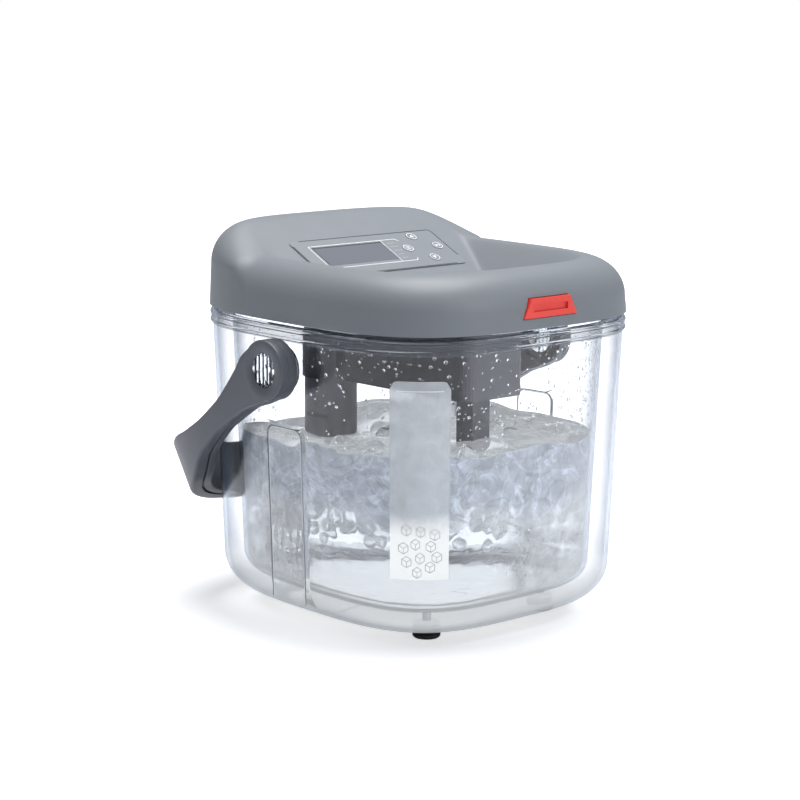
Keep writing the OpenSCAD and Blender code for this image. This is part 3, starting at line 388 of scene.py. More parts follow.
MATS = {
    "lid": plastic("lid grey", (0.178, 0.194, 0.215), 0.45),
    "panel": plastic("panel film", (0.2, 0.216, 0.238), 0.34, 900, 0.02),
    "handle": plastic("handle grey", (0.084, 0.092, 0.109), 0.42),
    "inside": plastic("inner housing", (0.016, 0.019, 0.027), 0.5, 3000, 0.003, shine=0.25,
                      front=(0.14, 0.145, 0.165)),
    "column": plastic("inner column", (0.04, 0.046, 0.062), 0.45, 3000, 0.003, shine=0.3,
                      front=(0.09, 0.095, 0.11)),
    "rubber": plastic("black rubber", (0.012, 0.012, 0.013), 0.6, 1200, 0.2),
    "red": plastic("latch red", (0.78, 0.055, 0.04), 0.33, 1800, 0.03),
    "steel": plastic("brushed steel", (0.55, 0.56, 0.57), 0.3, 700, 0.15, metal=1.0, stretch=(1, 1, 12)),
    "alu": plastic("milled aluminium", (0.7, 0.71, 0.73), 0.28, 900, 0.1, metal=1.0, stretch=(1, 8, 1)),
    "board": plastic("board green", (0.03, 0.14, 0.07), 0.4, 1500, 0.1),
    "pale": plastic("pale plastic", (0.62, 0.6, 0.54), 0.4),
    "tube": plastic("silicone tube", (0.6, 0.63, 0.65), 0.35, 800, 0.04),
    "print": plastic("white print", (0.82, 0.83, 0.84), 0.5, 1500, 0.02),
    # Painted shade: the dark line on the step of each pad.
    "pad shade": plastic("pad shade", (0.17, 0.185, 0.215), 0.4, 1500, 0.02),
    "mark": plastic("grey print", (0.33, 0.35, 0.36), 0.5, 1500, 0.02),
    "print line": plastic("line print", (0.8, 0.81, 0.82), 0.5, 1500, 0.02),
    "print sign": plastic("sign print", (0.5, 0.52, 0.54), 0.5, 1500, 0.02),
    # Painted shade: the dark line of the panel's groove.
    "border": plastic("panel groove shade", (0.03, 0.032, 0.036), 0.45, 1500, 0.02),
    "lcd": plastic("display glass", (0.115, 0.125, 0.155), 0.12, 200, 0.01, coat=0.6),
    "shell": clear("clear shell", (0.985, 0.99, 0.995), 1.32, through=0.96, rim=0.85),
    "inner": clear("clear inner shell", (0.97, 0.98, 0.99), 1.22, through=0.96, rim=0.9),
    "water": clear("water", (0.93, 0.96, 0.985), 1.33, wave=0.5, wave_scale=34, through=0.98),
    "ice": clear("ice", (0.97, 0.985, 1.0), 1.16, 0.03, wave=0.9, wave_scale=70, cloud=0.25, through=0.98),
    "strip": clear("frosted strip", (0.97, 0.98, 0.99), 1.1, 0.25, through=0.95),
    "drop": clear("water drop", (0.97, 0.985, 1.0), 1.33),
    "boss": clear("clear boss", (0.93, 0.95, 0.97), 1.4, 0.02),
}
# The shell gets painted shade in its rim band, a dark layer for the lid's shadow, and painted
# light at its foot, a pale layer that glows for the light from the floor beneath the tank.
veil(MATS["shell"], 0, 0.3, (0.5, 0.5, 0.5), (0.13, 0.14, 0.16), 0.1885, 0.1895, 0)
veil(MATS["shell"], 0.22, 0, (0.8, 0.83, 0.87), (0.8, 0.83, 0.87), 0.022, 0.06, 0.003, lit=0.88)
# The water is full of fine bubbles above and clears towards the bottom. Its low part and its
# top glow, painted light for the light that passes through, and its low part is milkier at the
# sides of the view, painted light and shade.
veil(MATS["water"], 0.18, 0.93, (0.86, 0.9, 0.96), (0.52, 0.565, 0.64), 0.066, 0.096,
     sides=0.55, top=0.4, streaks=0.2, lit=0.78)
# The strip is greyer above and pale below, where it glows: painted light for the light that comes through it
# from behind.
veil(MATS["strip"], 0.85, 0.55, (0.95, 0.96, 0.97), (0.62, 0.65, 0.68), 0.072, 0.092, 0.004,
     streaks=0.04, lit=0.95)
print("materials:", len(MATS))


def dress(obj, mat):
    obj.data.materials.clear()
    obj.data.materials.append(MATS[mat])
    return obj


SHOWN = {}


def piece(obj, body, mat, replaces=()):
    """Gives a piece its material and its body."""
    if mat:
        dress(obj, mat)
    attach(obj, body)
    if replaces:
        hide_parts(*replaces)
    SHOWN[obj.name] = len(obj.data.polygons)
    return obj


# %% [markdown]
# ## The outer tank
# The wall leans in towards the floor, a fillet carries it under, and a band with two ridges runs
# round the top. A shallow raised pad stands below each pivot. The ring of points keeps two
# pairs of points at the pad's edges, so its outline stays sharp.

# %% Outer tank
WALL_IN, WALL_T, BOTTOM_R, EDGE = 1.8, 2.5, 27.0, 2.4
TOP = JOINT - 3.2


def pad_half(z):
    up = max(z - PAD_TOP + PAD_R, 0)
    return PAD_W / 2 - PAD_R + math.sqrt(max(PAD_R ** 2 - up ** 2, 0))


def tank_loop(inset, w=PAD_W / 2, h=0.0, step=1.5):
    a, b = W / 2 - inset, D / 2 - inset

    def side(s):
        made = []
        for y in (-w - EDGE, -w, w, w + EDGE):
            x = a * (1 - min(abs(y) / b, 1) ** POWER) ** (1 / POWER)
            made.append((s * (x + (h if abs(y) <= w else 0)), s * y))
        return made

    half = [3 + step * i for i in range(int((174 / step)) + 1)]
    return (side(1) + [corner(t, a, b) for t in half]
            + side(-1) + [corner(t + 180, a, b) for t in half])


def bowl(inset, z, r, steps):
    return [(inset + r * (1 - math.sin(math.radians(90 * i / steps))),
             z + r * (1 - math.cos(math.radians(90 * i / steps)))) for i in range(steps + 1)]


def flat(points, z):
    return [(x, y, z) for x, y in points]


def shrink(points, k, z):
    return [(x * k, y * k, z) for x, y in points]


lowest = wall_at(FOOT + BOTTOM_R, WALL_IN, BAND)
outside = bowl(lowest, FOOT, BOTTOM_R, 16)
outside += [(wall_at(z, WALL_IN, BAND), z) for z in
            [PAD_TOP - 7, PAD_TOP - 5, PAD_TOP - 3.2, PAD_TOP - 1.8, PAD_TOP - 0.8, PAD_TOP - 0.2, PAD_TOP]]
rings = [flat(tank_loop(i, pad_half(z), PAD_T if z > FOOT + 8 else 0), z) for i, z in outside]
rings.append(flat(tank_loop(wall_at(PAD_TOP + EDGE, WALL_IN, BAND)), PAD_TOP + EDGE))
for i, z in [(WALL_IN, BAND), (0.45, BAND + 0.6), (0.3, BAND + 1.0), (0.3, BAND + 1.9), (0.45, BAND + 2.2),
             (0.8, BAND + 2.6), (0.8, TOP - 3.0), (0.45, TOP - 2.6), (0.3, TOP - 2.3), (0.3, TOP - 1.2),
             (0.45, TOP - 0.8), (0.8, TOP - 0.6), (0.8, TOP),
             (WALL_IN + WALL_T, TOP), (WALL_IN + WALL_T, BAND)]:
    rings.append(flat(tank_loop(i), z))
for i, z in reversed(bowl(lowest + WALL_T, FOOT + WALL_T, BOTTOM_R - WALL_T, 14)):
    rings.append(flat(tank_loop(i), z))
base, under = tank_loop(outside[0][0]), tank_loop(lowest + BOTTOM_R)
rings = [shrink(base, k, FOOT) for k in (0.02, 0.3, 0.65)] + rings
rings += [shrink(under, k, FOOT + WALL_T) for k in (0.65, 0.3, 0.02)]
outer = smooth(skin("outer_shell", rings), 28)
piece(outer, "tank", "shell", ["outer_tank"])
print("outer shell faces:", len(outer.data.polygons))

# %% [markdown]
# ## The inner tank
# A second shell hangs inside the first by its flange, with air between the two.

# %% Inner tank
GAP, IN_T = 9.0, 2.2
IN_INSET = WALL_IN + WALL_T + GAP
IN_FLOOR = FOOT + WALL_T + 10
IN_R = BOTTOM_R - GAP - WALL_T
FLANGE = TOP + 2.5
outside = bowl(wall_at(IN_FLOOR + IN_R, IN_INSET, TOP), IN_FLOOR, IN_R, 12)
inside = bowl(wall_at(IN_FLOOR + IN_R, IN_INSET, TOP) + IN_T, IN_FLOOR + IN_T, IN_R - IN_T, 12)
rings = [shrink(loop(outside[0][0], 60), k, IN_FLOOR) for k in (0.02, 0.4, 0.75)]
rings += [flat(loop(i, 60), z) for i, z in outside]
in_face = IN_INSET + IN_T
rings += [flat(loop(i, 60), z) for i, z in
          [(IN_INSET, TOP - 1.5), (IN_INSET - 0.6, TOP - 0.2), (IN_INSET - 1.6, TOP), (2.5, TOP),
           (2.5, FLANGE), (in_face - 1, FLANGE), (in_face - 0.3, FLANGE - 0.3), (in_face, FLANGE - 1)]]
rings += [flat(loop(i, 60), z) for i, z in reversed(inside)]
rings += [shrink(loop(inside[0][0], 60), k, IN_FLOOR + IN_T) for k in (0.75, 0.4, 0.02)]
inner = smooth(skin("inner_shell", rings), 28)
piece(inner, "tank", "inner", ["inner_tank"])
print("inner shell faces:", len(inner.data.polygons))

# %% [markdown]
# ## The lid
# The lid's top is one formula. A rounded rim runs round a basin, and a plane that slopes at 26
# degrees rises from the basin's back to the hump. Each ring takes the highest of the three,
# rounded where they meet.

# %% Lid
RIM, HUMP, BASIN = JOINT + 35.5, JOINT + 54.5, JOINT + 13.5
LEAN, ROUND, LID_T = 1.0, 24.0, 3.0
SLOPE = math.tan(math.radians(26))
PANEL_Y, PANEL_Z = 39.0, JOINT + 31.1


def ease(v):
    v = min(max(v, 0), 1)
    return v * v * (3 - 2 * v)


def soft_max(a, b, k):
    return (a + b + math.sqrt((a - b) ** 2 + k * k)) / 2


def soft_min(a, b, k):
    return (a + b - math.sqrt((a - b) ** 2 + k * k)) / 2


def slope_z(y):
    return PANEL_Z + (y - PANEL_Y) * SLOPE


def crest_z(y):
    return soft_min(soft_max(RIM, slope_z(y), 2), HUMP + 0.3, 2)


def side_top(y):
    return JOINT + 10.5 + 17 * ease((y - 38) / 16)


def top_z(y, inset):
    over = inset - LEAN - ROUND
    fall = RIM - 0.93 * (math.sqrt(over * over + 9) - 3 if over > 0 else 0)
    wall = soft_max(fall, BASIN, 2.5)
    fade = max(2 - over * 0.2, 0.4)
    if over > 12:
        fade = 0.4 + min((over - 12) * 0.05, 1.2) * (1 if slope_z(y) < BASIN + 6 else 0)
    return soft_min(soft_max(wall, slope_z(y), fade), HUMP + 0.3, 2)


STEPS = 84


def lid_rings(t, fine):
    rings = []
    for k in range(fine + 1):
        a = math.radians(90 * k / fine)
        ring = []
        for x, y in loop(LEAN + ROUND * (1 - math.cos(a)) + t * math.cos(a), STEPS):
            z0 = side_top(y)
            ring.append((x, y, z0 + (crest_z(y) - z0) * math.sin(a) - t * math.sin(a)))
        rings.append(ring)
    stops = [25.7, 26.6, 27.6, 28.8, 30.2, 32, 34, 36, 38, 40, 42, 44, 45.5, 47, 48.5, 50, 52, 55, 59, 64,
             70, 77, 84, 92, 100, 107, 112]
    return rings + [[(x, y, top_z(y, inset) - t) for x, y in loop(inset, STEPS)] for inset in stops]


cover_out = [flat(loop(0, STEPS), JOINT), flat(loop(0.02, STEPS), JOINT + 0.4)] + lid_rings(0, 16)
cover_in = [flat(loop(LID_T, STEPS), JOINT)] + lid_rings(LID_T, 8)
lid = skin("smooth_lid", list(reversed(cover_in)) + cover_out)
print("lid faces before the openings:", len(lid.data.polygons))

LATCH_Z, LATCH_W, LATCH_H = JOINT + 13, 46.0, 12.0


def latch_outline(grow):
    lo, hi = LATCH_W / 2 + grow, LATCH_W / 2 - LATCH_H / 2 + grow
    h = LATCH_H / 2 + grow
    return [(-lo, -h), (lo, -h), (hi, h), (-hi, h)]


def prism(name, outline, y0, y1, z0):
    n = len(outline)
    points = [(x, y, z + z0) for y in (y0, y1) for x, z in outline]
    faces = [tuple(range(n)), tuple(reversed(range(n, 2 * n)))]
    faces += [(i, i + n, (i + 1) % n + n, (i + 1) % n) for i in range(n)]
    return face_outwards(mesh_object(name, points, faces))


combine(lid, prism("cut", latch_outline(0.5), -D / 2 + 12, -D / 2 - 6, LATCH_Z))
b = [np.array(v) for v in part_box("hose_sockets")]
combine(lid, box_object("cut", [b[0][0] * 1000 - 0.4, D / 2 - 8, b[0][2] * 1000 - 0.4],
                        [b[1][0] * 1000 + 0.4, D / 2 + 4, b[1][2] * 1000 + 0.4]))
b = [np.array(v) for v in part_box("power_socket")]
combine(lid, lathe("cut", [(0, -14), (5.4, -14), (5.4, 4), (0, 4)],
                   ((b[0][0] + b[1][0]) * 500, D / 2, (b[0][2] + b[1][2]) * 500), (0, 1, 0)))
smooth(lid, 30)
piece(lid, "lid", "lid", ["lid_cover"])
print("lid faces:", len(lid.data.polygons))

# %% [markdown]
# ## The handle
# Two shells make the strap. Its path is a rounded square in its own plane, its edges follow a
# smooth curve through a few measured widths, and a groove runs between the shells. The hubs
# are turned, joined on and bored for the clear pivots.

# %% Handle
REACH, GRIP_W, THICK, HUB_R = 171.0, 37.6, 13.0, 19.5
HUB_IN = W / 2 - wall_at(PIVOT_Z, WALL_IN, BAND) + 4.4
HUB_OUT = HUB_IN + THICK
SP = 3.74
SPLIT = THICK * 0.52
GT, GL = GRIP_W * 0.28, GRIP_W * 0.72
ARM_TOP = [(0, HUB_R * 0.98), (13, HUB_R * 0.95), (27, 13.5), (40, 9.3), (56, 5.4), (82, 3.6), (104, 5.2),
           (131, GT * 0.92), (REACH, GT)]
ARM_LOW = [(0, HUB_R * 0.98), (16, HUB_R * 0.86), (34, 13), (62, 12.4), (85, 14.6), (100, 17.5), (112, 22.5),
           (124, GL * 0.94), (REACH, GL)]


def rest_room(t):
    c, s = math.cos(math.radians(t)), math.sin(math.radians(t))
    return ((REACH - THICK) * c - (GL - 1) * s - 0.6 - D / 2
            + wall_at(PIVOT_Z - (REACH - THICK) * s - (GL - 1) * c, WALL_IN, BAND))


TILT, reach_far = 5.0, 60.0
for _ in range(14):
    middle = (TILT + reach_far) / 2
    if rest_room(middle) > 0:
        TILT = middle
    else:
        reach_far = middle


def curve_through(table, x):
    """A smooth curve through the points of a table, with no overshoot."""
    xs, ys = [p[0] for p in table], [p[1] for p in table]
    i = min(max(int(np.searchsorted(xs, x)) - 1, 0), len(xs) - 2)
    slopes = np.diff(ys) / np.diff(xs)
    inner = [0 if a * b <= 0 else 2 * a * b / (a + b) for a, b in zip(slopes, slopes[1:])]
    tangents = [slopes[0]] + inner + [slopes[-1]]
    h = xs[i + 1] - xs[i]
    u = min(max((x - xs[i]) / h, 0), 1)
    return ((2 * u**3 - 3 * u**2 + 1) * ys[i] + (u**3 - 2 * u**2 + u) * h * tangents[i]
            + (3 * u**2 - 2 * u**3) * ys[i + 1] + (u**3 - u**2) * h * tangents[i + 1])


def strap_xy(u, depth):
    v = u if u <= 1 else 2 - u
    t = math.radians(90 * v ** (SP / 2))
    return ((-1 if u <= 1 else 1) * (HUB_OUT - depth) * math.cos(t) ** (2 / SP),
            (REACH - depth) * math.sin(t) ** (2 / SP))


def in_frame(x, s, t):
    """From the handle's own plane to the tank's axes, at rest."""
    c, k = math.cos(math.radians(TILT)), math.sin(math.radians(TILT))
    return x, s * c + t * k, PIVOT_Z - s * k + t * c


def strap(name, profile, steps=150):
    rings = []
    for i in range(steps + 1):
        u = 0.007 + (2 - 0.014) * i / steps
        y = strap_xy(u, 0)[1]
        lo, hi = -curve_through(ARM_LOW, y), curve_through(ARM_TOP, y)
        ring = [in_frame(*strap_xy(u, d), lo + cut) for d, cut in profile]
        rings.append(ring + [in_frame(*strap_xy(u, d), hi - cut) for d, cut in reversed(profile)])
    return skin(name, rings)


def rounded(d0, d1, r, first=True, steps=5):
    """Depths and cut-backs round one edge, from depth d0 towards d1."""
    made = []
    for i in range(steps + 1):
        a = math.radians(90 * i / steps)
        made.append((d0 + (1 if d1 > d0 else -1) * r * (1 - math.cos(a)), r * (1 - math.sin(a))))
    return made if first else list(reversed(made))


def hub(name, s, d0, d1, edge0, edge1):
    """A hub disc between two depths, with rounded rims."""
    x0, x1 = HUB_OUT - d0, HUB_OUT - d1
    turns = [math.radians(90 * i / 4) for i in range(5)]
    rim = [(HUB_R - edge1 * (1 - math.sin(a)), x1 + edge1 * (1 - math.cos(a))) for a in turns]
    rim += [(HUB_R - edge0 * (1 - math.cos(a)), x0 - edge0 * (1 - math.sin(a))) for a in turns]
    return lathe(name, [(0, x1)] + rim + [(0, x0)], (0, 0, PIVOT_Z), (s, 0, 0), 96)


def bore(s):
    r = 11.0
    return lathe("bore", [(0, HUB_IN - 2), (r, HUB_IN - 2), (r, HUB_OUT - 1.2), (r + 2.1, HUB_OUT + 0.1),
                          (r + 2.1, HUB_OUT + 2), (0, HUB_OUT + 2)], (0, 0, PIVOT_Z), (s, 0, 0), 96)


def handle_shell(name, profile, d0, d1, e0, e1, node_name):
    made = strap(name, profile)
    for s in (-1, 1):
        combine(made, hub("hub", s, d0, d1, e0, e1), "UNION")
    for s in (-1, 1):
        combine(made, bore(s))
    smooth(made, 32)
    for v in made.data.vertices:
        v.co.y = min(v.co.y, before[1][1])
    return piece(made, "handle", "handle", [node_name])


outer_profile = rounded(0, 1, 2.0) + [(SPLIT, 0)]
inner_profile = [(SPLIT, 2.6), (SPLIT + 1.6, 2.6), (SPLIT + 1.6, 0.3), (SPLIT + 1.9, 0)]
inner_profile += rounded(THICK, 0, 1.2, False, 4)
shell_a = handle_shell("strap_outer", outer_profile, 0, SPLIT, 1.2, 0.15, "handle_outer")
shell_b = handle_shell("strap_inner", inner_profile, SPLIT, THICK, 0.15, 0.8, "handle_inner")
print("stored tilt", round(TILT, 2), "handle faces",
      len(shell_a.data.polygons), len(shell_b.data.polygons))

# %% [markdown]
# ## Materials for the CAD nodes that stay
# The record's slots say what each node is made of. Here each one gets its look.

# %% CAD nodes
LOOKS = {
    "rubber": ["rubber_feet", "rim_seal"],
    "boss": ["pivot_bosses", "foot_bosses"],
    "strip": ["level_strip"],
    "steel": ["hinge_pin", "hinge_screws", "lid_screws", "knuckle_screws", "pump_motor", "temperature_probe",
              "latch_spring", "handle_screws", "foot_studs"],
    "pale": ["latch_keeper", "key_switches", "impeller"],
    "lid": ["hinge_bracket", "hinge_knuckle"],
    "inside": ["lid_base", "pump_housing", "pump_volute", "intake_strainer", "hose_sockets", "power_socket",
               "display_module", "panel_carrier", "latch_guide"],
    "column": ["pump_column", "return_pipe"],
    "tube": ["supply_tube", "feed_tube", "return_tube"],
    "alu": ["heater_block"],
    "board": ["control_board"],
    "panel": ["panel_overlay", "key_up", "key_down", "key_mode", "key_run"],
    "lcd": ["display_window"],
    "red": ["latch_button"],
}
for look, names in LOOKS.items():
    for name in names:
        if name in nodes:
            dress(nodes[name], look)
print("dressed:", sum(len(v) for v in LOOKS.values()))

# %% [markdown]
# ## Water
# The water fills the inner tank to a little over half its height. Its skin follows the inner
# wall, and its top is a sum of small waves with a lip that climbs the wall. The pump draws the
# surface down around its column.

# %% Water
WATER_Z = 120.0
rng = random.Random(7)
WAVES = [(rng.uniform(0, 2 * math.pi), rng.uniform(0.05, 0.22), rng.uniform(0, 6.28),
          rng.uniform(0.2, 0.8)) for _ in range(14)]
DIP_X, DIP_Y, DIP_DEEP, DIP_WIDE = -18, 62, 13, 40
WATER_GAP = 0.12


def wave(x, y):
    """The surface's height over its mean: waves, less the hollow that the pump draws."""
    dip = DIP_DEEP * math.exp(-((x - DIP_X) ** 2 + (y - DIP_Y) ** 2) / (2 * DIP_WIDE ** 2))
    return sum(h * math.sin(k * (x * math.cos(a) + y * math.sin(a)) + p) for a, k, p, h in WAVES) - dip


def wet(z):
    return wall_at(z, IN_INSET, TOP) + IN_T + WATER_GAP


floor_inset = inside[0][0] + WATER_GAP
rings = [shrink(loop(floor_inset, 60), k, IN_FLOOR + IN_T + 0.1) for k in (0.02, 0.5, 0.85)]
rings += [flat(loop(i + WATER_GAP, 60), z + 0.1) for i, z in inside]
rings += [flat(loop(wet(z), 60), z) for z in (60, 85, 100)]
for inset, lift in [(0, 1.6), (0.5, 0.9), (1.2, 0.4)] + [(2.2 * i + 2.2, 0) for i in range(42)]:
    rings.append([(x, y, WATER_Z + lift + wave(x, y)) for x, y in loop(wet(WATER_Z) + inset, 60)])
water = smooth(skin("water", rings), 60)
piece(water, "tank", "water")
print("water faces:", len(water.data.polygons))


# %% [markdown]
# ## Scattering with geometry nodes
# `scatter` builds one tree. It sets an instance on every point of a cloud, turns and scales each
# one by chance with a fixed seed, makes real mesh of them and gives them a material. With `lie`
# the lumps keep the direction of the cloud's faces instead, as drops on a wall do.

# %% Scatter
def scatter(cloud, lump, mat, seed, smallest, largest, lie=False):
    tree = bpy.data.node_groups.new(cloud.name, "GeometryNodeTree")
    face, make, join = tree.interface, tree.nodes.new, tree.links.new
    for label, kind in (("Geometry", "Geometry"), ("Lump", "Object"), ("Seed", "Int"),
                        ("Smallest", "Float"), ("Largest", "Float"), ("Material", "Material")):
        face.new_socket(label, in_out="INPUT", socket_type="NodeSocket" + kind)
    face.new_socket("Geometry", in_out="OUTPUT", socket_type="NodeSocketGeometry")
    start, end = make("NodeGroupInput"), make("NodeGroupOutput")
    info, place = make("GeometryNodeObjectInfo"), make("GeometryNodeInstanceOnPoints")
    join(start.outputs["Lump"], info.inputs["Object"])
    join(info.outputs["Geometry"], place.inputs["Instance"])
    size = node(tree, "FunctionNodeRandomValue", data_type="FLOAT")
    ends = [i for i in size.inputs if i.enabled and i.name in ("Min", "Max")]
    join(start.outputs["Smallest"], ends[0])
    join(start.outputs["Largest"], ends[1])
    join(start.outputs["Seed"], size.inputs["Seed"])
    join([o for o in size.outputs if o.enabled][0], place.inputs["Scale"])
    if lie:
        spots = node(tree, "GeometryNodeMeshToPoints", mode="FACES")
        join(spots.outputs["Points"], place.inputs["Points"])
        way = make("GeometryNodeInputNormal")
        turn = node(tree, "FunctionNodeAlignRotationToVector", axis="Z")
        keep = node(tree, "GeometryNodeCaptureAttribute", domain="FACE")
        keep.capture_items.new("VECTOR", "Normal")
        join(start.outputs["Geometry"], keep.inputs["Geometry"])
        join(way.outputs["Normal"], keep.inputs["Normal"])
        join(keep.outputs["Geometry"], spots.inputs["Mesh"])
        join(keep.outputs["Normal"], turn.inputs["Vector"])
        join(turn.outputs["Rotation"], place.inputs["Rotation"])
    else:
        join(start.outputs["Geometry"], place.inputs["Points"])
        angle = node(tree, "FunctionNodeRandomValue", data_type="FLOAT_VECTOR")
        [i for i in angle.inputs if i.enabled and i.name == "Max"][0].default_value = (6.28, 6.28, 6.28)
        join(start.outputs["Seed"], angle.inputs["Seed"])
        join([o for o in angle.outputs if o.enabled][0], place.inputs["Rotation"])
    real, paint = make("GeometryNodeRealizeInstances"), make("GeometryNodeSetMaterial")
    join(place.outputs["Instances"], real.inputs["Geometry"])
    join(real.outputs["Geometry"], paint.inputs["Geometry"])
    join(start.outputs["Material"], paint.inputs["Material"])
    join(paint.outputs["Geometry"], end.inputs["Geometry"])
    mod = cloud.modifiers.new("scatter", "NODES")
    mod.node_group = tree
    values = {"Lump": lump, "Seed": seed, "Smallest": smallest, "Largest": largest, "Material": MATS[mat]}
    for item in face.items_tree:
        if item.in_out == "INPUT" and item.name in values:
            mod[item.identifier] = values[item.name]
    bake(cloud)
    bpy.data.objects.remove(lump)
    for f in cloud.data.polygons:
        f.use_smooth = True
    return cloud


def lump_object(around, up, squash=1.0, seed=0, cuts=0, square=0.0):
    """A ball of radius 1 mm, made squarish and cut by flats on request, then flattened."""
    bm = bmesh.new()
    bmesh.ops.create_uvsphere(bm, u_segments=around, v_segments=up, radius=1)
    chance = random.Random(seed)
    flats = [(Vector([chance.gauss(0, 1) for _ in range(3)]).normalized(), chance.uniform(0.62, 0.9))
             for _ in range(cuts)]
    for v in bm.verts:
        v.co = v.co.lerp(v.co / max(abs(c) for c in v.co) * 0.8, square)
        for way, limit in flats:
            v.co -= way * max(v.co.dot(way) - limit, 0) * 0.85
        v.co.z *= squash
        v.co /= 1000
    mesh = bpy.data.meshes.new("lump")
    bm.to_mesh(mesh)
    bm.free()
    obj = bpy.data.objects.new("lump", mesh)
    bpy.context.collection.objects.link(obj)
    return obj


print("geometry node scatter ready")

# %% [markdown]
# ## Ice
# Three sizes of ice float in the upper half of the water. The points keep clear of the wall, the
# pump's column, its supply tube and the pipe that brings the water back.

# %% Ice
def across(name):
    low, high = (np.array(v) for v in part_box(name))
    return (low[0] + high[0]) * 500, (low[1] + high[1]) * 500 - AY * 1000, (high[0] - low[0]) * 500


PUMP = [across("pump_column"), across("return_pipe")]
tube = [np.array(v) * 1000 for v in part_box("supply_tube")]
TUBE_R = 4.4
RISER = (tube[1][0] - TUBE_R, tube[1][1] - AY * 1000 - TUBE_R, 6.0)


def hides_column(x, y, size):
    """The band of water between the tank's front and the pump's column stays free of ice."""
    return abs(0.74 * (x + 8) - 0.67 * (y - 77)) <= 16 + size and y >= 15


def ice_spots(count, z0, z1, size, seed, spots):
    chance, made = random.Random(seed), []
    for _ in range(count * 80):
        x, y, z = chance.uniform(-95, 95), chance.uniform(-105, 105), chance.uniform(z0, z1)
        inset = wet(z) + size + 0.6
        in_wall = (abs(x) / (W / 2 - inset)) ** POWER + (abs(y) / (D / 2 - inset)) ** POWER < 1
        free = all(math.hypot(x - cx, y - cy) > r + size + 2 for cx, cy, r in PUMP + [RISER])
        free = free and not hides_column(x, y, size)
        apart = all((x - a) ** 2 + (y - b) ** 2 + (z - c) ** 2 > ((size + s) * 0.78) ** 2
                    for a, b, c, s in spots)
        sunk = z + 0.5 * size < WATER_Z + wave(x, y) + 4
        if in_wall and free and apart and sunk and len(made) < count:
            made.append((x, y, z))
            spots.append((x, y, z, size))
    return made


taken = []
ICE = [(34, 96, 121, 12), (70, 66, 118, 10), (150, 58, 117, 6.5)]
for index, (count, z0, z1, size) in enumerate(ICE):
    spots = ice_spots(count, z0, z1, size, 11 + index, taken)
    cloud = mesh_object("ice_%d" % index, spots, [])
    scatter(cloud, lump_object(20, 14, 0.85, 5 + index, 22, 0.45), "ice", 3 + index, size * 0.72, size)
    piece(cloud, "tank", None)
    print(cloud.name, "lumps:", len(spots), "faces:", len(cloud.data.polygons))

# %% [markdown]
# ## Condensation
# Drops cling to the inside of the inner wall above the water. Each starts as a tiny face that
# looks into the tank, and a flattened ball is set on it.

# %% Drops
def drops(name, count, z0, z1, smallest, largest, seed):
    chance = random.Random(seed)
    verts, faces = [], []
    for _ in range(count):
        z, deg = z0 + (z1 - z0) * chance.random() ** 1.25, chance.uniform(0, 360)
        inset = wall_at(z, IN_INSET, TOP) + IN_T
        x, y = corner(deg, W / 2 - inset, D / 2 - inset)
        x2, y2 = corner(deg + 0.1, W / 2 - inset, D / 2 - inset)
        side = Vector((x2 - x, y2 - y, 0)).normalized() * 0.05
        faces.append((len(verts), len(verts) + 1, len(verts) + 2))
        verts += [(x, y, z + 0.05), (x + side.x, y + side.y, z - 0.05), (x - side.x, y - side.y, z - 0.05)]
    cloud = mesh_object(name, verts, faces)
    scatter(cloud, lump_object(12, 8, 0.55), "drop", seed, smallest, largest, lie=True)
    piece(cloud, "tank", None)
    print(name, "faces:", len(cloud.data.polygons))


drops("drops_small", 1100, WATER_Z + 4, 193, 0.3, 0.75, 21)
drops("drops_large", 360, WATER_Z + 3, 190, 0.75, 1.4, 22)

# %% [markdown]
# ## Prints, and a line of painted shade, on the panel
# `print_plates` makes thin plates from flat outlines, a few hundredths of a millimetre thick, on
# any surface that a function describes. `to_panel` is the panel's own plane, sloping with the lid.

# %% Panel prints
CA, SA = math.cos(math.radians(26)), math.sin(math.radians(26))
PANEL_X = 1.0
FILM = 0.6


def to_panel(u, v, w):
    return PANEL_X + u, PANEL_Y + v * CA - w * SA, PANEL_Z + v * SA + w * CA


def print_plates(name, outlines, place, height, thick):
    """Closed outlines, each a list of corners, as thin plates on the surface that place describes."""
    verts, faces = [], []
    for outline in outlines:
        n, a = len(outline), len(verts)
        verts += [place(u, v, h) for h in (height, height + thick) for u, v in outline]
        faces += [tuple(reversed(range(a, a + n))), tuple(range(a + n, a + 2 * n))]
        faces += [(a + i, a + (i + 1) % n, a + n + (i + 1) % n, a + n + i) for i in range(n)]
    return face_outwards(mesh_object(name, verts, faces))


def on_panel(name, outlines, height, body="lid", mat="print", thick=0.05):
    return piece(print_plates(name, outlines, to_panel, height, thick), body, mat)


def stroke(points, width, closed=False):
    """A band of even width along a line of points, as four-cornered outlines."""
    made = []
    count = len(points) if closed else len(points) - 1
    for i in range(count):
        (x0, y0), (x1, y1) = points[i], points[(i + 1) % len(points)]
        l = math.hypot(x1 - x0, y1 - y0)
        ux, uy = (x1 - x0) / l, (y1 - y0) / l
        px, py, ex, ey = -uy * width / 2, ux * width / 2, ux * 0.02, uy * 0.02
        made.append([(x0 - px - ex, y0 - py - ey), (x1 - px + ex, y1 - py + ey),
                     (x1 + px + ex, y1 + py + ey), (x0 + px - ex, y0 + py - ey)])
    return made


def arc(cx, cy, r, a0, a1, steps=8):
    return [(cx + r * math.cos(math.radians(a0 + (a1 - a0) * i / steps)),
             cy + r * math.sin(math.radians(a0 + (a1 - a0) * i / steps))) for i in range(steps + 1)]


def ring_band(cx, cy, r0, r1, steps=48):
    made = []
    for i in range(steps):
        a, b = (math.radians(360 * (i + k) / steps) for k in (0, 1))
        made.append([(cx + r * math.cos(t), cy + r * math.sin(t))
                     for r, t in ((r0, a), (r1, a), (r1, b), (r0, b))])
    return made


